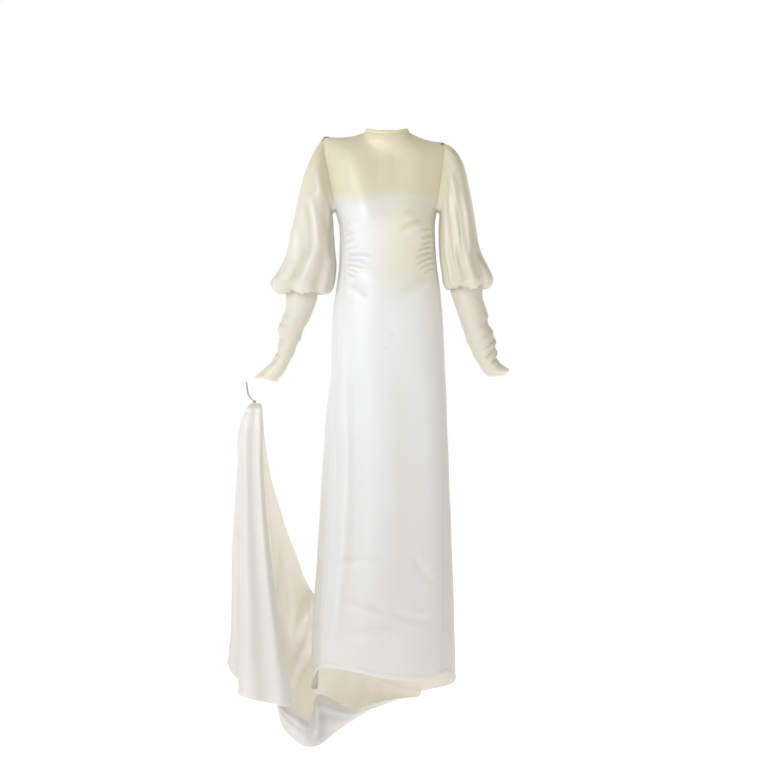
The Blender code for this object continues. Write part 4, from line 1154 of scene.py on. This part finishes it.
def make_fall(materials):
    """The train's front ply."""
    def detail(u, v, placed):
        low = np.clip(v, 0.0, 1.0)
        out = low * fade((u - 0.46) / 0.05) * np.sin(2.0 * math.pi * (4.3 * u + 0.25 * v) + 0.7)
        ply = np.minimum(4.0 * v, 1.0)
        out += ply * (2.6 * hump((u - 0.500) / 0.022) - 5.0 * hump((u - 0.570) / 0.030))
        out += ply * (1.8 * hump((u - 0.12 - 0.05 * v) / 0.05) - 2.4 * hump((u - 0.27 - 0.03 * v) / 0.07))
        out += 1.6 * low * hump((u - 0.40) / 0.04) - 2.0 * low * hump((u - 0.80) / 0.05)
        out += soft_swell(300.0 * u, 740.0 * v, 0.8, 230.0, 1.9) * low
        return out + hem_roll((1.0 - v) * 740.0) * 0.8
    return cloth("satin_train_fall", fall_point, steps(110), steps(190), materials, own_axis=True, detail=detail)


def make_binding(materials):
    """The narrow band round the neck, a rounded fold with a stitched line under it."""
    def shape(u, v):
        return binding_point(360.0 * u, v)

    def detail(u, v, placed):
        return 0.9 * np.sin(math.pi * v) - 0.5 * hump((v - 0.16) / 0.05) + 0.06 * np.sin(140.0 * math.pi * u)
    piece = cloth("satin_neck_binding", shape, steps(240), steps(20), materials, tube=True, detail=detail)
    piece[0].modifiers["wall"].thickness = 1.8 * MM
    return piece


def make_tab(materials):
    """The squared corner of the right shoulder opening."""
    def detail(u, v, placed):
        edge = np.minimum(np.minimum(u, 1.0 - u) * 24.0, (1.0 - v) * 40.0)
        return 0.35 * hump((edge - 1.5) / 1.2) - 0.25 * hump((edge - 3.4) / 0.5)
    return cloth("satin_shoulder_tab", tab_point, steps(40), steps(56), materials, detail=detail)


def make_button(material):
    """The small round fastening: a dished disc with a raised rim."""
    def yoke(across, down):
        placed = yoke_point(np.array([across]), np.array([down]), False)[0]
        return Vector([float(value) for value in placed])
    place = yoke(BUTTON_ACROSS, BUTTON_DOWN)
    beside = yoke(BUTTON_ACROSS - 0.02, BUTTON_DOWN)
    below = yoke(BUTTON_ACROSS, BUTTON_DOWN + 0.02)
    facing = (beside - place).cross(below - place).normalized()
    if facing.z < 0.0:
        facing = -facing
    disc = bmesh.new()
    bmesh.ops.create_cone(disc, cap_ends=True, segments=40, radius1=0.94 * BUTTON_RADIUS * MM,
                          radius2=BUTTON_RADIUS * MM, depth=BUTTON_HEIGHT * MM)
    top = [face for face in disc.faces if face.normal.z > 0.9]
    bmesh.ops.inset_region(disc, faces=top, thickness=0.24 * BUTTON_RADIUS * MM, depth=0.0)
    bmesh.ops.inset_region(disc, faces=top, thickness=0.06 * BUTTON_RADIUS * MM, depth=-0.18 * BUTTON_HEIGHT * MM)
    rim = [edge for edge in disc.edges if edge.calc_face_angle(0.0) > 0.6]
    bmesh.ops.bevel(disc, geom=rim, offset=0.12 * BUTTON_RADIUS * MM, segments=3, profile=0.5, affect="EDGES")
    turn = Vector((0.0, 0.0, 1.0)).rotation_difference(facing).to_matrix().to_4x4()
    bmesh.ops.transform(disc, matrix=turn, verts=disc.verts)
    seat = (place + facing * (0.5 * BUTTON_HEIGHT + BUTTON_GAP)) * MM
    bmesh.ops.translate(disc, vec=seat, verts=disc.verts)
    mesh = bpy.data.meshes.new("round_shoulder_button")
    disc.to_mesh(mesh)
    disc.free()
    mesh.materials.append(material)
    mesh.shade_smooth()
    button = bpy.data.objects.new("round_shoulder_button", mesh)
    bpy.context.scene.collection.objects.link(button)
    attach(button, "root")
    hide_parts("shoulder_button_left")


def make_loop(material):
    """The thin cord that holds the train up, along its route."""
    curve = bpy.data.curves.new("silk_train_loop", "CURVE")
    curve.dimensions = "3D"
    curve.bevel_depth = CORD_RADIUS
    curve.bevel_resolution = 4
    curve.use_fill_caps = True
    line = curve.splines.new("POLY")
    line.points.add(LOOP_POINTS - 1)
    route = smooth_read(np.linspace(0.0, 1.0, len(LOOP_ROUTE)), np.array(LOOP_ROUTE), steps(LOOP_POINTS - 1))
    for index, place in enumerate(route * MM):
        line.points[index].co = (*place, 1.0)
    curve.materials.append(material)
    loop = bpy.data.objects.new("silk_train_loop", curve)
    bpy.context.scene.collection.objects.link(loop)
    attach(loop, "root")
    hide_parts("train_loop")


def make_knot(material):
    """The knot of the loop's two ends: wraps of cord round a small core."""
    ball = bmesh.new()
    bmesh.ops.create_uvsphere(ball, u_segments=40, v_segments=24, radius=1.0)
    for vertex in ball.verts:
        spot = vertex.co
        turn = math.atan2(spot.y, spot.x)
        vertex.co = spot * (0.93 + 0.07 * math.cos(3.0 * turn + 9.0 * spot.z))
    bmesh.ops.scale(ball, vec=Vector(KNOT_HALF) * MM, verts=ball.verts)
    bmesh.ops.translate(ball, vec=Vector(KNOT_PLACE) * MM, verts=ball.verts)
    mesh = bpy.data.meshes.new("silk_loop_knot")
    ball.to_mesh(mesh)
    ball.free()
    mesh.materials.append(material)
    mesh.shade_smooth()
    knot = bpy.data.objects.new("silk_loop_knot", mesh)
    bpy.context.scene.collection.objects.link(knot)
    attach(knot, "root")
    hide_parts("loop_knot")


def dress_pieces():
    """Makes all the cloth and hides the solid that each sheet stands in for."""
    outside = satin("ivory_satin", (0.865, 0.870, 0.872, 1.0), (0.79, 0.725, 0.52, 1.0), 0.30, 0.30, 1.0, (0.76, 1.0))
    # The sleeves' satin is the body's satin painted darker and warmer, as painted shade.
    shade_painted_sleeves = satin("sleeve_satin_shaded", (0.765, 0.715, 0.60, 1.0), (0.78, 0.72, 0.55, 1.0), 0.32, 0.30, 1.0, (0.96, 1.0))
    # The train's satin is the body's satin painted a little darker, as painted shade.
    train = satin("train_satin", (0.86, 0.85, 0.825, 1.0), (0.80, 0.77, 0.69, 1.0), 0.32, 0.30, 0.3, (0.76, 0.88))
    # The reverse is painted paler than the outside, as painted light for the light that reaches into the hollows of
    # the skirt and train.
    reverse = satin("satin_reverse", (0.94, 0.92, 0.87, 1.0), (0.90, 0.81, 0.63, 1.0), 0.50, 0.70, 0.0, (0.90, 0.98), -1.0)
    body = [outside, reverse]
    arm = [shade_painted_sleeves, reverse]
    drawn_up = [train, reverse]
    made = [
        (make_front(body), "front_panel", "hung"),
        (make_side("satin_side_right", -1, body), "side_panel_right", "hung"),
        (make_side("satin_side_left", 1, body), "side_panel_left", "hung"),
        (make_back("satin_back_right", -1, body), "back_panel_right", "hung"),
        (make_back("satin_back_left", 1, body), "back_panel_left", "hung"),
        (make_upper_sleeve("satin_balloon_right", -1, UPPER_RIGHT, SLEEVE_WAVES_RIGHT, LOBES_RIGHT,
                           BALLOON_FOLDS_RIGHT, arm), "upper_sleeve_right", "gathered"),
        (make_upper_sleeve("satin_balloon_left", 1, UPPER_LEFT, SLEEVE_WAVES_LEFT, LOBES_LEFT,
                           BALLOON_FOLDS_LEFT, arm), "upper_sleeve_left", "gathered"),
        (make_lower_sleeve("satin_forearm_right", -1, LOWER_RIGHT, CREASES_RIGHT, FINE_CREASES_RIGHT, arm),
         "lower_sleeve_right", "hung"),
        (make_lower_sleeve("satin_forearm_left", 1, LOWER_LEFT, CREASES_LEFT, FINE_CREASES_LEFT, arm),
         "lower_sleeve_left", "hung"),
        (make_pouch(drawn_up), "train_pouch", "draped"),
        (make_fall(drawn_up), "train_fall", "draped"),
        (make_binding([outside]), "neck_binding", "stretched"),
        (make_tab(arm), "shoulder_tab_right", "folded"),
    ]
    for (piece, width, length), node, held in made:
        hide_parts(node)


def make_light(name, place, target, width, height, power_watts, colour):
    """A soft square light."""
    data = bpy.data.lights.new(name, "AREA")
    data.shape = "RECTANGLE"
    data.size = width
    data.size_y = height
    data.energy = power_watts
    data.color = colour
    lamp = bpy.data.objects.new(name, data)
    lamp.location = place
    lamp.rotation_euler = (Vector(target) - Vector(place)).to_track_quat("-Z", "Y").to_euler()
    bpy.context.scene.collection.objects.link(lamp)


def make_stage():
    """The plain pale floor and the studio's light."""
    floor = bmesh.new()
    bmesh.ops.create_grid(floor, x_segments=2, y_segments=2, size=6.0)
    bmesh.ops.translate(floor, vec=(0.0, 0.0, FLOOR_LEVEL), verts=floor.verts)
    mesh = bpy.data.meshes.new("studio_floor")
    floor.to_mesh(mesh)
    floor.free()
    material = bpy.data.materials.new("pale_floor")
    material.use_nodes = True
    shader = material.node_tree.nodes["Principled BSDF"]
    input_value(shader, "Base Color", (0.95, 0.95, 0.95, 1.0))
    input_value(shader, "Roughness", 0.9)
    input_value(shader, "Emission Color", (1.0, 1.0, 1.0, 1.0))
    input_value(shader, "Emission Strength", FLOOR_GLOW)
    mesh.materials.append(material)
    stage = bpy.data.objects.new("studio_floor", mesh)
    bpy.context.scene.collection.objects.link(stage)
    world = bpy.data.worlds.new("studio")
    world.use_nodes = True
    tree = world.node_tree
    back = tree.nodes["Background"]
    place = tree.nodes.new("ShaderNodeTexCoord")
    split = tree.nodes.new("ShaderNodeSeparateXYZ")
    tree.links.new(place.outputs["Generated"], split.inputs[0])
    shaded = tree.nodes.new("ShaderNodeValToRGB")
    shaded.color_ramp.elements[0].position = 0.24
    shaded.color_ramp.elements[0].color = (1.0, 1.0, 1.0, 1.0)
    shaded.color_ramp.elements[1].position = 0.60
    shaded.color_ramp.elements[1].color = (0.68, 0.63, 0.54, 1.0)
    tree.links.new(split.outputs["X"], shaded.inputs["Fac"])
    ramp = tree.nodes.new("ShaderNodeValToRGB")
    ramp.color_ramp.elements[0].position = 0.22
    ramp.color_ramp.elements[0].color = (1.0, 1.0, 1.0, 1.0)
    ramp.color_ramp.elements[1].position = 0.70
    ramp.color_ramp.elements[1].color = (0.42, 0.38, 0.30, 1.0)
    tree.links.new(split.outputs["Z"], ramp.inputs["Fac"])
    both = tree.nodes.new("ShaderNodeMix")
    both.data_type = "RGBA"
    both.blend_type = "MULTIPLY"
    both.inputs["Factor"].default_value = 1.0
    tree.links.new(ramp.outputs["Color"], both.inputs["A"])
    tree.links.new(shaded.outputs["Color"], both.inputs["B"])
    tree.links.new(both.outputs["Result"], back.inputs["Color"])
    back.inputs["Strength"].default_value = 1.0
    bpy.context.scene.world = world
    make_light("front_window", (-1.5, -2.3, 0.8), (0.0, 0.0, -0.4), 1.5, 1.8, 36.0, (0.95, 0.975, 1.0))
    bpy.context.scene.view_settings.view_transform = "Standard"


def main():
    """Makes the camera, the cord, the dress and the stage."""
    make_camera()
    cord = silk_cord()
    make_loop(cord)
    make_knot(cord)
    dress_pieces()
    make_button(button_finish())
    make_stage()


main()
